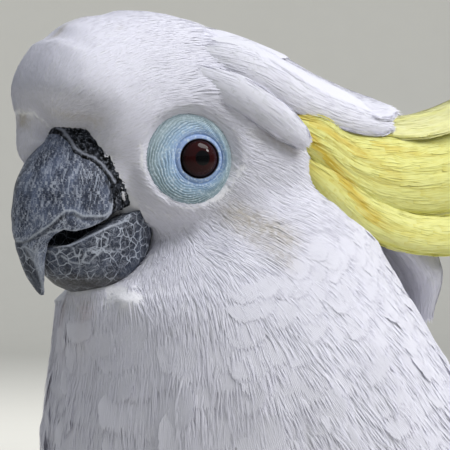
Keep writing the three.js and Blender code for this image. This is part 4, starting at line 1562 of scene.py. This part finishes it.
def add_vane(coat, draw, loft, vane, span, across, width, rise, side=1):
    """Lays one long feather on a loft, from span and across at its root to those at its tip."""
    laid = on_loft(loft, vane, *span, *across, width, rise, side)
    root = loft.face(np.array(span[:1]), np.array(across[:1]), np.zeros(1))[0]
    coat.add(vane, laid, root * [side, 1, 1], draw.random(1), np.zeros(1))


def crest_loft(stations):
    return Loft([(at, across, through, 2.0, bow) for at, across, through, bow in stations])


def sunk_root(stations):
    """The stations of a crest group, with the first drawn down under the skin."""
    at, across, through, *rest = stations[0]
    away = np.subtract(stations[1][0], at)
    start = np.array(at) - 0.25 * away - unit(through) * (np.linalg.norm(through) + 1.6)
    return [(list(start), [0.6 * part for part in across], through, *rest)] + stations[1:]


def plume_ridges(along, turn, plumes, depth):
    """Height of the plumes lying side by side on a loft, and how deep in a groove."""
    place = (np.cos(turn) + 1) / 2 * plumes
    place = place + 0.16 * np.sin(3.3 * along + 2.2 * place) * (plumes > 1)
    share = place - np.floor(place)
    edge = smooth_step(0.0, 0.5, share) * smooth_step(1.0, 0.75, share)
    inner = smooth_step(0.0, 0.12, place) * smooth_step(plumes, plumes - 0.12, place)
    groove = np.exp(-(np.minimum(share, 1 - share) / 0.13) ** 2) * inner
    return depth * edge, groove * smooth_step(0.0, 0.06, along)


def plume_surface(loft, along, turn, plumes, depth):
    """Places on a loft with its ridges, running on straight past its end."""
    height, _ = plume_ridges(along, turn, plumes, depth)
    points = loft.skin(np.minimum(along, 1), turn, grow=height)
    tip = unit(np.subtract(loft.at[-1], loft.at[-2])) * loft.length()
    return points + np.maximum(along - 1, 0)[:, None] * tip


# Golden streaks along the folds of the crest, partly its own deeper yellow and partly painted shade in
# the folds: places across and up as the camera sees them, half the width of the streak, and its
# strength.
GOLD_STREAKS = [
    ([(34.0, 12.7), (41.7, 7.8), (52.3, 0.8)], 0.9, 0.75),
    ([(37.5, 6.0), (43.5, -0.7), (48.7, -7.3), (52.3, -12.3), (56.8, -16.4)], 1.3, 1.0),
    ([(55.8, 4.3), (61, 2.6), (68, 1.5)], 0.8, 0.6),
    ([(56.5, -0.7), (61.7, -3.4)], 0.7, 0.5),
    ([(48, 5.0), (56, -1.0), (62, -5.0)], 1.0, 0.4),
]


def plume_colour(finish, points, along, groove, shift):
    """The groove value of plumes: painted shade in the grooves of white plumes; in yellow ones golden at
    the roots, in the grooves and along streaks, partly their own colour and partly painted shade.
    """
    if finish == "white":
        return 0.12 * groove
    flat = np.stack([points @ VIEW_RIGHT, points[:, 2]], axis=1)
    streaks = np.zeros(len(points))
    for line, half_width, strength in GOLD_STREAKS:
        amount = strength * np.exp(-(line_gap(flat, line) / half_width) ** 2)
        streaks = np.maximum(streaks, amount)
    fade = smooth_step(1.0, 0.35, along)
    # At the roots the gold is deepened with painted shade, as in the grooves.
    grooved = 0.35 * groove * fade + 0.8 * smooth_step(0.14, 0.0, along)
    return np.clip(np.maximum(grooved, streaks) + shift, -1, 1)


def plume_body(loft, side, finish, plumes, depth, shift):
    """The smooth closed body of a group of plumes."""
    def shape(along, turn):
        points = plume_surface(loft, along, turn * 2 * math.pi, plumes, depth)
        _, groove = plume_ridges(along, turn * 2 * math.pi, plumes, depth)
        # Along 0.3 gives each plume body a little of the painted root shade, so the gaps between the
        # barbs laid over it look darker.
        values = {"along": np.full(len(along), 0.3), "tone": np.full(len(along), 0.5),
                  "groove": plume_colour(finish, points, along, groove, shift),
                  "stain": stain_and_shadow_at(points)}
        return points * [side, 1, 1], values

    return grid_piece(90, 96, shape, closed=True, capped=True)


def plume_tufts(coat, draw, loft, side, finish, plumes, depth, shift):
    """Fine barbs laid lengthwise all round a group of plumes."""
    length = loft.length()
    width = 2 * loft.half_width(np.linspace(0, 1, 20)).mean()
    amount = int(length * width * 2 * (0.75 if finish == "white" else 0.6))
    start = draw.uniform(-0.02, 0.97, amount)
    reach = np.minimum(draw.uniform(5, 11, amount) / length, np.maximum(1.03 - start, 0.04))
    turn = draw.uniform(0, 2 * math.pi, amount)
    splay = draw.normal(0, 0.07, amount)
    share = np.linspace(0, 1, 4)
    along = np.maximum(start[:, None] + reach[:, None] * share, 0).ravel()
    turns = (turn[:, None] + splay[:, None] * share).ravel()
    here = plume_surface(loft, along, turns, plumes, depth)
    ahead = plume_surface(loft, along + 0.01, turns, plumes, depth) - here
    aside = plume_surface(loft, along, turns + 0.08, plumes, depth) - here
    normals = unit(np.cross(ahead, aside))
    centre = spline(loft.at, along)
    normals = normals * np.sign(np.sum((here - centre) * normals, axis=1))[:, None]
    top = draw.uniform(0.0, 0.06, amount)
    rise = (0.03 + top[:, None] * share).ravel()
    mirror = np.array([side, 1, 1])
    shafts = ((here + normals * rise[:, None]) * mirror).reshape(amount, 4, 3)
    normals = (normals * mirror).reshape(amount, 4, 3)
    _, groove = plume_ridges(along, turns, plumes, depth)
    colour = plume_colour(finish, here, along, groove, shift)
    colour = colour.reshape(amount, 4)[:, 1:3].mean(axis=1)
    templates = [tuft_template(draw, 5, 0.18, 0.2, 0.08) for _ in range(8)]
    choice = draw.integers(0, len(templates), amount)
    tones = draw.random(amount)
    for number, template in enumerate(templates):
        pick = np.flatnonzero(choice == number)
        laid = shaped_feathers(template, shafts[pick], normals[pick], np.full(len(pick), 0.9), 0.0)
        coat.add(template, laid, shafts[pick, 0], tones[pick], colour[pick])


# Feathers over the start of the middle crest: share across, start, end, half width, lift.
CREST_COVERS = [(-0.5, 0.0, 0.34, 7.0, 0.1), (0.5, 0.02, 0.36, 7.0, 0.1),
                (0.0, 0.04, 0.42, 7.5, 0.15)]


# Feathers closing the gap between the middle and side crest: start, end, share across, width.
SEAM_COVERS = [(0.3, 0.97, -1.1, 3.4), (0.05, 0.75, -0.95, 3.6)]


class COCKATOO_OT_crest(bpy.types.Operator):
    """White covering feathers and yellow plumes from crown to nape"""

    bl_idname = "cockatoo.crest"
    bl_label = "Crest"

    def execute(self, context):
        draw = np.random.default_rng(context.scene.cockatoo_plumage.seed + 2)
        materials = {"white": white_feather(), "yellow": yellow_feather()}
        slots = {"white": "feather_white", "yellow": "feather_yellow"}
        coats = {finish: Coat(f"crest_{finish}_barbs", materials[finish], slots[finish])
                 for finish in materials}
        for name, (finish, stations, plumes, depth, shift) in CREST.items():
            loft = crest_loft(sunk_root(stations))
            sides = SIDES.items() if "SIDE" in name else [("", 1)]
            for label, side in sides:
                full_name = name.replace("SIDE", label)
                body = plume_body(loft, side, finish, plumes, depth, shift)
                add_piece(f"{full_name}_plumes", body, materials[finish],
                          [full_name])
                plume_tufts(coats[finish], draw, loft, side, finish, plumes, depth, shift)
        middle = crest_loft(CREST["crest_white_middle"][1])
        for share, start, end, width, lift in CREST_COVERS:
            template = vane_template(draw, 60, plume_outline, 0.2, 0.9, 0.03, 0.3, 4)

            def rise(along, lift=lift):
                return lift + 0.5 * along ** 2 - 2.4 * smooth_step(0.35, 0.0, along)

            add_vane(coats["white"], draw, middle, template, (start, end),
                     (share, share * 0.8), width, rise)
        beside = crest_loft(CREST["crest_white_SIDE"][1])
        for side in SIDES.values():
            for start, end, across, width in SEAM_COVERS:
                template = vane_template(draw, 60, strap_outline, 0.15, 0.9, 0.03, 0.2, 4)

                def over(along):
                    return 0.1 - 1.8 * smooth_step(0.2, 0.0, along)

                add_vane(coats["white"], draw, beside, template, (start, end),
                         (across, across), width, over, side)
        for coat in coats.values():
            coat.write()
        return {"FINISHED"}


# Wing: centre y and z, half height, outer x, lean, half thickness.
WING = [
    (8, -90, 10, 41.5, 0.1, 2), (24, -95, 27, 48, 0.2, 3), (56, -102, 38, 52.2, 0.3, 3.4),
    (96, -109, 39, 52.2, 0.4, 3.4), (138, -118, 34, 47.5, 0.5, 3.2), (178, -129, 26, 39, 0.6, 2.8),
    (215, -141, 18, 30, 0.7, 2.4), (250, -153, 12, 23, 0.8, 1.9), (280, -163, 7, 17, 0.9, 1.4),
    (294, -168, 3, 14.5, 0.9, 0.9),
]


def wing_loft():
    stations = []
    for y, z, half, x, lean, thick in WING:
        up = unit([-math.sin(lean), 0.22, math.cos(lean)])
        out = np.array([math.cos(lean), 0, math.sin(lean)])
        stations.append(([x - thick, y, z], list(up * half), list(out * thick), 2.0,
                         half * half / 118))
    return Loft(stations)


class COCKATOO_OT_wings(bpy.types.Operator):
    """Folded flight feathers and their coverts"""

    bl_idname = "cockatoo.wings"
    bl_label = "Wings"

    def execute(self, context):
        draw = np.random.default_rng(context.scene.cockatoo_plumage.seed + 3)
        loft = wing_loft()
        replaced = [f"wing_{side}_{row}" for side in SIDES for row in ("secondaries", "primaries")]
        coat = Coat("wing_feathers", white_feather(), "feather_white", replaced)
        rows = []
        for number in range(9):
            share = number / 8
            rows.append((0.34, 0.70 + 0.29 * share, -0.35 - 0.25 * share, -0.45 + 0.45 * share,
                         7.5, -1.2 - 0.25 * number))
        for number in range(11):
            share = number / 10
            rows.append((0.26, 0.74 - 0.16 * share, 0.75 - 1.35 * share, 0.55 - 1.3 * share,
                         9.5, 0.9 - 0.2 * number))
        for number in range(3):
            rows.append((0.25, 0.78 - 0.03 * number, 0.95 + 0.18 * number, 0.8 + 0.25 * number,
                         10.0, 0.9 - 0.3 * number))
        for start, end, lift in ((0.20, 0.50, 1.0), (0.14, 0.40, 1.1), (0.08, 0.31, 1.2),
                                 (0.04, 0.22, 1.2)):
            for number in range(12):
                share = number / 11
                rows.append((start, end - 0.07 * share + draw.uniform(-0.015, 0.015),
                             1.15 - 2.0 * share, 1.1 - 1.95 * share, 7.5, lift))
        for side in SIDES.values():
            for start, end, low, high, width, lift in rows:
                barbs = int(200 * (end - start)) + 20
                template = vane_template(draw, barbs, strap_outline, 0.14, 0.93, 0.03, 0.4, 3)

                def rise(along, lift=lift):
                    return lift + 0.6 * along - 5.0 * smooth_step(0.4, 0.0, along)

                add_vane(coat, draw, loft, template, (start, end), (low, high), width, rise,
                         side)
        coat.write()
        return {"FINISHED"}


TAIL = Loft([
    ([0, 196, -139], [13, 0, 0], [0, 0.9, 2.4], 2.6, 3),
    ([0, 232, -153], [20, 0, 0], [0, 0.9, 2.4], 2.8, 4),
    ([0, 275, -170], [26, 0, 0], [0, 0.8, 2.0], 3, 4),
    ([0, 320, -187.5], [30, 0, 0], [0, 0.6, 1.6], 3, 4),
    ([0, 342, -196], [27, 0, 0], [0, 0.5, 1.3], 3, 3),
    ([0, 350, -199], [17, 0, 0], [0, 0.3, 0.8], 2.6, 1),
])


TAIL_FEATHER_WIDTH = 6.6


class COCKATOO_OT_tail(bpy.types.Operator):
    """Twelve tail feathers in a closed fan"""

    bl_idname = "cockatoo.tail"
    bl_label = "Tail"

    def execute(self, context):
        draw = np.random.default_rng(context.scene.cockatoo_plumage.seed + 4)
        coat = Coat("tail_feathers", white_feather(), "feather_white",
                    ["tail_left", "tail_middle", "tail_right"])
        for number in range(12):
            share = (number + 0.5) / 12 * 2 - 1
            template = vane_template(draw, 90, strap_outline, 0.12, 0.93, 0.015, 0.25, 4)
            lift = -2.2 * abs(share)

            def rise(along, lift=lift):
                return lift + 0.4 * along

            add_vane(coat, draw, TAIL, template, (0.0, 1.0 - 0.02 * abs(share)),
                     (share * 0.6, share * 0.82), TAIL_FEATHER_WIDTH, rise)
        coat.write()
        return {"FINISHED"}


# Lines on the bill: places across and up as the camera sees them, half the width of the
# line, the value it adds to, and its strength.
UPPER_LINES = [
    ([(-34.0, -20.0), (-31.5, -20.7), (-29.6, -19.0), (-27.4, -17.6), (-25.2, -16.1),
      (-23.3, -14.2), (-21.8, -12.9), (-19.6, -12.9), (-17.4, -14.2), (-14.9, -14.2),
      (-12.4, -14.2), (-10.8, -12.9), (-10.2, -10.7)], 0.17, "pale", 0.95),
    ([(-26.1, -18.2), (-24.3, -17.8), (-21.8, -17.5), (-19.9, -17.9), (-17.7, -17.5),
      (-14.9, -16.5), (-12.4, -15.4), (-10.8, -13.2)], 0.15, "pale", 0.85),
    ([(-33.0, -21.0), (-29.4, -19.8), (-25.2, -17.0), (-23.3, -15.2), (-21.6, -14.0),
      (-19.6, -13.9), (-17.4, -15.0), (-14.9, -15.0), (-12.4, -14.9)], 0.35, "crack", 0.6),
    ([(-21.8, -12.9), (-22.2, -14.8), (-21.8, -17.3)], 0.14, "pale", 0.7),
    ([(-19.3, -13.2), (-18.6, -14.8), (-17.7, -15.9), (-16.1, -16.4)], 0.14, "pale", 0.7),
    ([(-10.8, -10.7), (-10.5, -8.2), (-11.8, -5.7)], 0.35, "crack", 0.7),
    ([(-31.8, -21.1), (-30.2, -23.6), (-28.6, -26.7), (-27.6, -30.1), (-27.4, -32.0)],
     0.35, "pale", 0.5),
]
LOWER_LINES = [
    ([(-24.6, -21.7), (-20.8, -21.4), (-16.8, -19.5), (-14.0, -18.2), (-11.5, -17.0),
      (-8.0, -15.7), (-6.1, -14.2)], 0.18, "pale", 0.85),
    ([(-22.7, -23.9), (-20.5, -25.4), (-18.0, -25.9), (-16.8, -22.9), (-14.9, -22.1),
      (-13.0, -22.6), (-11.9, -21.4), (-11.5, -19.8), (-13.0, -19.0)], 0.14, "pale", 0.75),
    ([(-18.0, -25.4), (-16.1, -25.7), (-14.9, -24.2), (-13.0, -22.6), (-9.9, -22.9)],
     0.14, "pale", 0.75),
    ([(-19.9, -22.0), (-19.3, -23.9), (-18.0, -23.6)], 0.14, "pale", 0.75),
    ([(-24.3, -22.0), (-23.0, -24.5), (-21.1, -27.3), (-18.0, -29.8), (-14.3, -31.7),
      (-9.9, -31.4)], 0.9, "dark", 0.75),
    ([(-24.2, -19.6), (-23.8, -20.8)], 0.7, "tan", 0.8),
]
CERE_LINES = [
    ([(-24.0, 7.4), (-22.4, 6.6), (-20.3, 3.9), (-19.4, 2.2), (-17.2, 0.8), (-14.8, -0.1),
      (-12.9, -1.7), (-11.0, -4.2), (-10.1, -5.9)], 0.22, "pale", 0.8),
]
RIDGE_LINE = [(-22.7, 6.4), (-20.5, 3.6), (-19.6, 1.8), (-17.4, 0.5), (-14.9, -0.4),
              (-13.0, -2.0), (-11.1, -4.5), (-10.2, -6.1)]
# Front edge of the worn tip: height, and place across at that height.
TIP_EDGE = [(-33.6, -27.3), (-30.1, -27.6), (-26.7, -28.6), (-23.6, -30.2), (-21.0, -31.8)]


def line_gap(places, line):
    """Distance of flat places from a broken line."""
    gap = np.full(len(places), 100.0)
    for start, end in zip(line, line[1:]):
        start, way = np.array(start), np.subtract(end, start)
        share = np.clip((places - start) @ way / (way @ way), 0, 1)
        gap = np.minimum(gap, np.linalg.norm(places - start - share[:, None] * way, axis=1))
    return gap


def bill_values(data, loft, lines):
    """Marks lines, worn places and the grain on the horn, and cuts the lines into it."""
    points, normals = to_eye_frame(mesh_points(data)), mesh_normals(data)
    folded = folded_left(points)
    facing = normals * outward_sides(points) @ VIEW_TOWARDS
    shown = smooth_step(0.05, 0.25, facing)
    flat = np.stack([folded @ VIEW_RIGHT, folded[:, 2]], axis=1)
    values = {name: np.zeros(len(points)) for name in ("pale", "dark", "crack", "brown", "tan")}
    for line, half_width, name, strength in lines:
        wobble = 0.12 * np.sin(5.3 * flat[:, 0] + 2.0 * np.sin(4.1 * flat[:, 1]))
        away = np.abs(line_gap(flat, line) - np.abs(wobble))
        amount = strength * np.exp(-(away / half_width) ** 2) * shown
        values[name] = np.maximum(values[name], amount)
    tip = np.interp(flat[:, 1], *np.array(TIP_EDGE).T)
    if loft is UPPER_BILL:
        ahead = smooth_step(0.3, -0.5, flat[:, 0] - tip) * smooth_step(-20.5, -22.0, flat[:, 1])
        behind = np.exp(-((flat[:, 0] - tip - 1.0) / 1.2) ** 2) * smooth_step(-20, -23, flat[:, 1])
        values["dark"] = np.maximum(values["dark"], 0.7 * ahead)
        values["pale"] = np.maximum(values["pale"], 0.35 * behind * (flat[:, 0] > tip))
        values["worn"] = 0.7 * smooth_step(-13, -19, points[:, 2])
    else:
        values["brown"] = 0.6 * smooth_step(-27.5, -30.5, points[:, 2])
        values["dark"] = np.maximum(values["dark"], 0.6)
        values["dark"] = np.maximum(values["dark"], 0.7 * smooth_step(-9.5, -6.5, flat[:, 0]))
        values["worn"] = np.ones(len(points))
    for name, amounts in values.items():
        add_point_values(data, name, amounts)
    rows, turns = np.meshgrid(np.linspace(0, 1, 90), np.linspace(0, 2 * math.pi, 121)[:-1],
                              indexing="ij")
    surface = loft.skin(rows.ravel(), turns.ravel())
    tree = search_tree(surface)
    near = np.array([tree.find(point)[1] for point in points.tolist()])
    round_front = np.arctan2(np.cos(turns.ravel()), -np.sin(turns.ravel()))[near]
    grain = np.stack([round_front * 12.0, rows.ravel()[near] * 48.0, np.zeros(len(points))], axis=1)
    grain[:, :2] += (points - surface[near])[:, 1:] * 0.5
    attribute = data.attributes.new("grain", "FLOAT_VECTOR", "POINT")
    attribute.data.foreach_set("vector", (grain * MM).astype(np.float32).ravel())
    raised = 0.1 * values["pale"] - 0.25 * values["crack"]
    set_points(data, to_world(points + normals * raised[:, None]))


class COCKATOO_OT_bill(bpy.types.Operator):
    """Hooked upper bill, scooped lower bill and the cere"""

    bl_idname = "cockatoo.bill"
    bl_label = "Bill and cere"

    def execute(self, context):
        horn = shared_material("bill_keratin", horn_material)

        upper = carved(loft_shell(UPPER_BILL, 80, 80),
                       [plate(UPPER_MOUTH, PAST_BILL), plate(PALATE, MOUTH_HALF_WIDTH)])
        lower = carved(loft_shell(LOWER_BILL, 80, 80),
                       [plate(LOWER_MOUTH, PAST_BILL), plate(SCOOP, MOUTH_HALF_WIDTH)])
        behind = plate(CERE_EDGE + [(0, -20), (0, 40), (-60, 40)], PAST_BILL)
        before = plate([(y - 0.1, z - 0.1) for y, z in CERE_EDGE] + [(-21, -60), (-60, -60)],
                       PAST_BILL)
        horn_part, cere_part = carved(upper.copy(), [behind]), carved(upper, [before])
        for name, mesh, loft, lines in (("bill_upper", horn_part, UPPER_BILL, UPPER_LINES),
                                        ("bill_lower", lower, LOWER_BILL, LOWER_LINES)):
            data = remeshed(mesh, HORN_VOXEL, 3)
            bill_values(data, loft, lines)
            add_piece(name + "_horn", data, horn, [name])
        data = remeshed(cere_part, CERE_VOXEL, 3)
        bill_values(data, UPPER_BILL, CERE_LINES)
        points, normals = to_eye_frame(mesh_points(data)), mesh_normals(data)
        flat = np.stack([folded_left(points) @ VIEW_RIGHT, points[:, 2]], axis=1)
        ridge = np.exp(-(line_gap(flat, RIDGE_LINE) / 0.4) ** 2)
        bumps = np.sin(points[:, 1] * 3.1 + points[:, 2] * 2.3) * np.sin(points[:, 2] * 3.7)
        raised = 0.2 + 0.3 * ridge + 0.14 * bumps + 0.08 * np.sin(points[:, 1] * 6.3)
        set_points(data, to_world(points + normals * raised[:, None]))
        add_piece("cere_pad", data, shared_material("cere_leather", cere_material),
                  ["cere"])
        return {"FINISHED"}


RING_PROFILE = [
    (4.72, 4.6), (4.80, 5.05), (4.95, 5.30), (5.20, 5.42), (5.6, 5.36), (6.1, 5.02), (6.6, 5.30),
    (7.4, 5.42), (8.6, 5.26), (9.8, 4.95), (10.6, 4.55), (11.2, 4.0), (12.0, 3.2), (13.2, 2.4),
]
RING_PITCH = 0.5
CANTHUS = math.radians(-32)


def ring_surface(along, turn, side):
    """Lids and wrinkled bare skin round the eye, with each point's radius and its painted shade in the
    wrinkles and lid groove.
    """
    knots = np.array(RING_PROFILE)
    radius = np.interp(along, np.linspace(0, 1, 9), [4.72, 4.9, 5.2, 5.8, 6.6, 8.0, 9.4, 10.8, 13.2])
    angle = turn * 2 * math.pi
    height = np.interp(radius, knots[:, 0], knots[:, 1])
    wave = (radius + 0.24 * np.sin(2 * angle + 0.7) + 0.14 * np.sin(5 * angle + 2.1 + 0.9 * radius)
            + 0.08 * np.sin(9 * angle + 1.9 * radius) + 0.04 * np.sin(23 * angle - 1.8 * radius))
    wrinkle = np.sin(wave / RING_PITCH * 2 * math.pi)
    worn = 0.5 + 0.5 * np.sin(4 * angle + radius * 1.9 + 2 * np.sin(3 * angle))
    amount = smooth_step(5.9, 7.2, radius) * smooth_step(12.2, 11.4, radius)
    height = height + 0.10 * amount * wrinkle * (0.35 + 0.65 * worn)
    pimple = np.sin(angle * 46 + np.floor(wave / RING_PITCH) * 2.4) * np.maximum(wrinkle, 0)
    height = height + 0.05 * amount * np.maximum(pimple, 0)
    lid = np.exp(-((radius - 6.15 - 0.08 * np.sin(3 * angle)) / 0.16) ** 2)
    height = height - 0.10 * lid
    corner = np.exp(-(((angle - CANTHUS + math.pi) % (2 * math.pi) - math.pi) / 0.2) ** 2)
    opening = 1 + 0.03 * np.cos(angle - CANTHUS) + 0.02 * np.cos(2 * angle + 0.4) + 0.04 * corner
    shown = radius * (1 + (opening - 1) * smooth_step(6.6, 5.0, radius))
    shift = RING_SET_FORWARD * smooth_step(5.2, 11.0, radius)
    flat_x = shown * np.cos(angle) + shift
    flat_y = shown * np.sin(angle)
    points = (EYE_CENTRE + np.outer(height, EYE_AXIS) + np.outer(flat_x, EYE_FORWARD)
              + np.outer(flat_y, EYE_UP))
    # Painted shade: deepest in the wrinkle troughs and the lid groove.
    fold = amount * np.maximum(-wrinkle, 0) * (0.4 + 0.6 * worn)
    return points * [side, 1, 1], {"ring_radius": radius, "fold": np.maximum(fold, lid)}


class COCKATOO_OT_eye_rings(bpy.types.Operator):
    """Lids and wrinkled bare skin round each eye"""

    bl_idname = "cockatoo.eye_rings"
    bl_label = "Eye rings"

    def execute(self, context):
        material = shared_material("bare_eye_skin", ring_material)
        for label, side in SIDES.items():
            def shape(along, turn, side=side):
                return ring_surface(along, turn, side)

            closed = grid_piece(150, 260, shape, closed=True)
            centre = to_world(EYE_CENTRE * [side, 1, 1])
            face = closed.faces[0]
            if (np.array(face.calc_center_median()) - centre) @ np.array(face.normal) < 0:
                bmesh.ops.reverse_faces(closed, faces=closed.faces)
            add_piece(f"eye_ring_{label}_skin", closed, material,
                      [f"eye_ring_{label}"])
        return {"FINISHED"}


class COCKATOO_OT_eyes(bpy.types.Operator):
    """Eyeballs with a domed cornea"""

    bl_idname = "cockatoo.eyes"
    bl_label = "Eyes"

    def execute(self, context):
        material = shared_material("wet_eye", eye_material)
        for label, side in SIDES.items():
            mesh = bmesh.new()
            bmesh.ops.create_uvsphere(mesh, u_segments=72, v_segments=48, radius=1.0)
            local = np.array([vert.co for vert in mesh.verts])
            tilt = np.arccos(np.clip(local[:, 2], -1, 1))
            radius = EYE_RADIUS + 0.5 * smooth_step(0.85, 0.35, tilt)
            points = EYE_CENTRE + radius[:, None] * (
                np.outer(local[:, 2], EYE_AXIS) + np.outer(local[:, 0], EYE_FORWARD)
                + np.outer(local[:, 1], EYE_UP))
            for vert, point in zip(mesh.verts, to_world(points * [side, 1, 1])):
                vert.co = point
            bmesh.ops.recalc_face_normals(mesh, faces=mesh.faces)
            data = mesh_data(mesh)
            add_point_values(data, "iris_radius", EYE_RADIUS * np.sin(np.minimum(tilt, math.pi / 2)))
            add_point_values(data, "iris_turn", np.arctan2(local[:, 1], local[:, 0]))
            add_piece(f"eye_{label}_ball", data, material, [f"eye_{label}"])
        return {"FINISHED"}


class COCKATOO_OT_feet(bpy.types.Operator):
    """Scaled shanks and toes, and the claws"""

    bl_idname = "cockatoo.feet"
    bl_label = "Feet and claws"

    def execute(self, context):
        skin = shared_material("scaled_foot_skin", foot_material)
        horn = shared_material("claw_keratin", claw_material)
        for label in SIDES:
            nodes = [f"shank_{label}"] + [f"toe_{label}_{number}" for number in range(1, 5)]
            data = remeshed(node_shells(nodes, 0.28), FOOT_VOXEL, 4)
            points = mesh_points(data)
            points[:, 2] = np.maximum(points[:, 2], 0.0)
            set_points(data, points)
            add_piece(f"foot_{label}", data, skin, nodes)
            nodes = [f"claw_{label}_{number}" for number in range(1, 5)]
            mesh = node_shells(nodes, 0.05)
            bmesh.ops.subdivide_edges(mesh, edges=mesh.edges, cuts=2, use_grid_fill=True, smooth=0.6)
            for _ in range(3):
                bmesh.ops.smooth_vert(mesh, verts=mesh.verts, factor=0.4, use_axis_x=True,
                                      use_axis_y=True, use_axis_z=True)
            add_piece(f"claws_{label}", mesh, horn, nodes)
        return {"FINISHED"}


COVE_RADIUS = 7.0
COVE_BEND = 1.0
COVE_WALL = 1.5


class COCKATOO_OT_stage(bpy.types.Operator):
    """Floor, backdrop, lights and camera"""

    bl_idname = "cockatoo.stage"
    bl_label = "Studio"

    def execute(self, context):
        stage = context.scene.cockatoo_stage
        right, towards = view_axes(stage.azimuth)

        def paper(along, turn):
            reach = along * (COVE_RADIUS + COVE_WALL)
            bend = np.clip((reach - COVE_RADIUS + COVE_BEND) / COVE_BEND, 0, math.pi / 2)
            flat = np.minimum(reach, COVE_RADIUS - COVE_BEND) + COVE_BEND * np.sin(bend)
            rise = COVE_BEND * (1 - np.cos(bend))
            rise = rise + np.clip(reach - COVE_RADIUS + COVE_BEND * (1 - math.pi / 2), 0, None)
            angle = turn * 2 * math.pi
            points = np.stack([flat * np.cos(angle), flat * np.sin(angle), rise], axis=1)
            return to_eye_frame(points), {}

        sheet = grid_piece(60, 64, paper, closed=True)
        for face in sheet.faces:
            if face.normal.z < -1e-3 or face.normal.dot(face.calc_center_median()) > 1e-3:
                face.normal_flip()
        data = mesh_data(sheet, "studio_paper")
        floor = bpy.data.objects.new("studio_paper", data)
        data.materials.append(stage_material())
        data.polygons.foreach_set("use_smooth", [True] * len(data.polygons))
        context.scene.collection.objects.link(floor)

        world = bpy.data.worlds.new("studio")
        context.scene.world = world
        world.use_nodes = True
        world.node_tree.nodes["Background"].inputs["Color"].default_value = paint("#dfe6ee")
        world.node_tree.nodes["Background"].inputs["Strength"].default_value = 0.5

        head = np.array(to_world([0, 10, 0]))
        lights = [
            ("top", 0.7 * right + 0.2 * towards + [0, 0, 1.13], 1.0, 17.5, "#ffffff"),
            ("window", 0.95 * right + 0.35 * towards + [0, 0, 0.6], 0.22, 2.5, "#ffffff"),
            ("backdrop", -2.5 * towards + [0, 0, 2.2], 2.0, 100.0, "#ffffff"),
        ]
        for name, offset, size, power, tint in lights:
            lamp = bpy.data.lights.new(name, "AREA")
            lamp.shape, lamp.size = "DISK", size
            lamp.energy = power
            lamp.color = linear(tint)
            holder = bpy.data.objects.new(name, lamp)
            holder.location = head + offset
            aim = -7 * towards if name == "backdrop" else np.zeros(3)
            holder.rotation_euler = Vector(aim - offset).to_track_quat("-Z", "Y").to_euler()
            context.scene.collection.objects.link(holder)

        lens = bpy.data.cameras.new("camera")
        lens.sensor_width = SENSOR
        lens.lens = SENSOR * stage.distance / (PICTURE_WIDTH * PIXEL * MM)
        lens.clip_start, lens.clip_end = 0.01, 50
        camera = bpy.data.objects.new("camera", lens)
        across, near, up = PICTURE_CENTRE
        centre = to_world([0, 0, up]) + right * across * MM + towards * near * MM
        camera.location = centre + towards * stage.distance
        camera.rotation_euler = Vector(-towards).to_track_quat("-Z", "Y").to_euler()
        context.scene.collection.objects.link(camera)
        context.scene.camera = camera
        context.scene.view_settings.view_transform = "Standard"
        return {"FINISHED"}


OPERATORS = [
    COCKATOO_OT_skin, COCKATOO_OT_face, COCKATOO_OT_body_coat, COCKATOO_OT_crest,
    COCKATOO_OT_wings, COCKATOO_OT_tail, COCKATOO_OT_bill, COCKATOO_OT_eye_rings,
    COCKATOO_OT_eyes, COCKATOO_OT_feet, COCKATOO_OT_stage,
]


class COCKATOO_PT_panel(bpy.types.Panel):
    """Every piece of the cockatoo, in building order"""

    bl_idname = "COCKATOO_PT_panel"
    bl_label = "White Cockatoo"
    bl_space_type = "VIEW_3D"
    bl_region_type = "UI"
    bl_category = "Cockatoo"

    def draw(self, context):
        for operator in OPERATORS:
            self.layout.operator(operator.bl_idname)
        for group in (context.scene.cockatoo_plumage, context.scene.cockatoo_face,
                      context.scene.cockatoo_stage):
            for name in group.__annotations__:
                self.layout.prop(group, name)


CLASSES = [PlumageSettings, FaceSettings, StageSettings, *OPERATORS, COCKATOO_PT_panel]


def register():
    for item in CLASSES:
        bpy.utils.register_class(item)
    bpy.types.Scene.cockatoo_plumage = PointerProperty(type=PlumageSettings)
    bpy.types.Scene.cockatoo_face = PointerProperty(type=FaceSettings)
    bpy.types.Scene.cockatoo_stage = PointerProperty(type=StageSettings)


def unregister():
    del bpy.types.Scene.cockatoo_plumage
    del bpy.types.Scene.cockatoo_face
    del bpy.types.Scene.cockatoo_stage
    for item in reversed(CLASSES):
        bpy.utils.unregister_class(item)


def main():
    register()
    for operator in OPERATORS:
        group, name = operator.bl_idname.split(".")
        getattr(getattr(bpy.ops, group), name)()


if __name__ == "__main__":
    main()
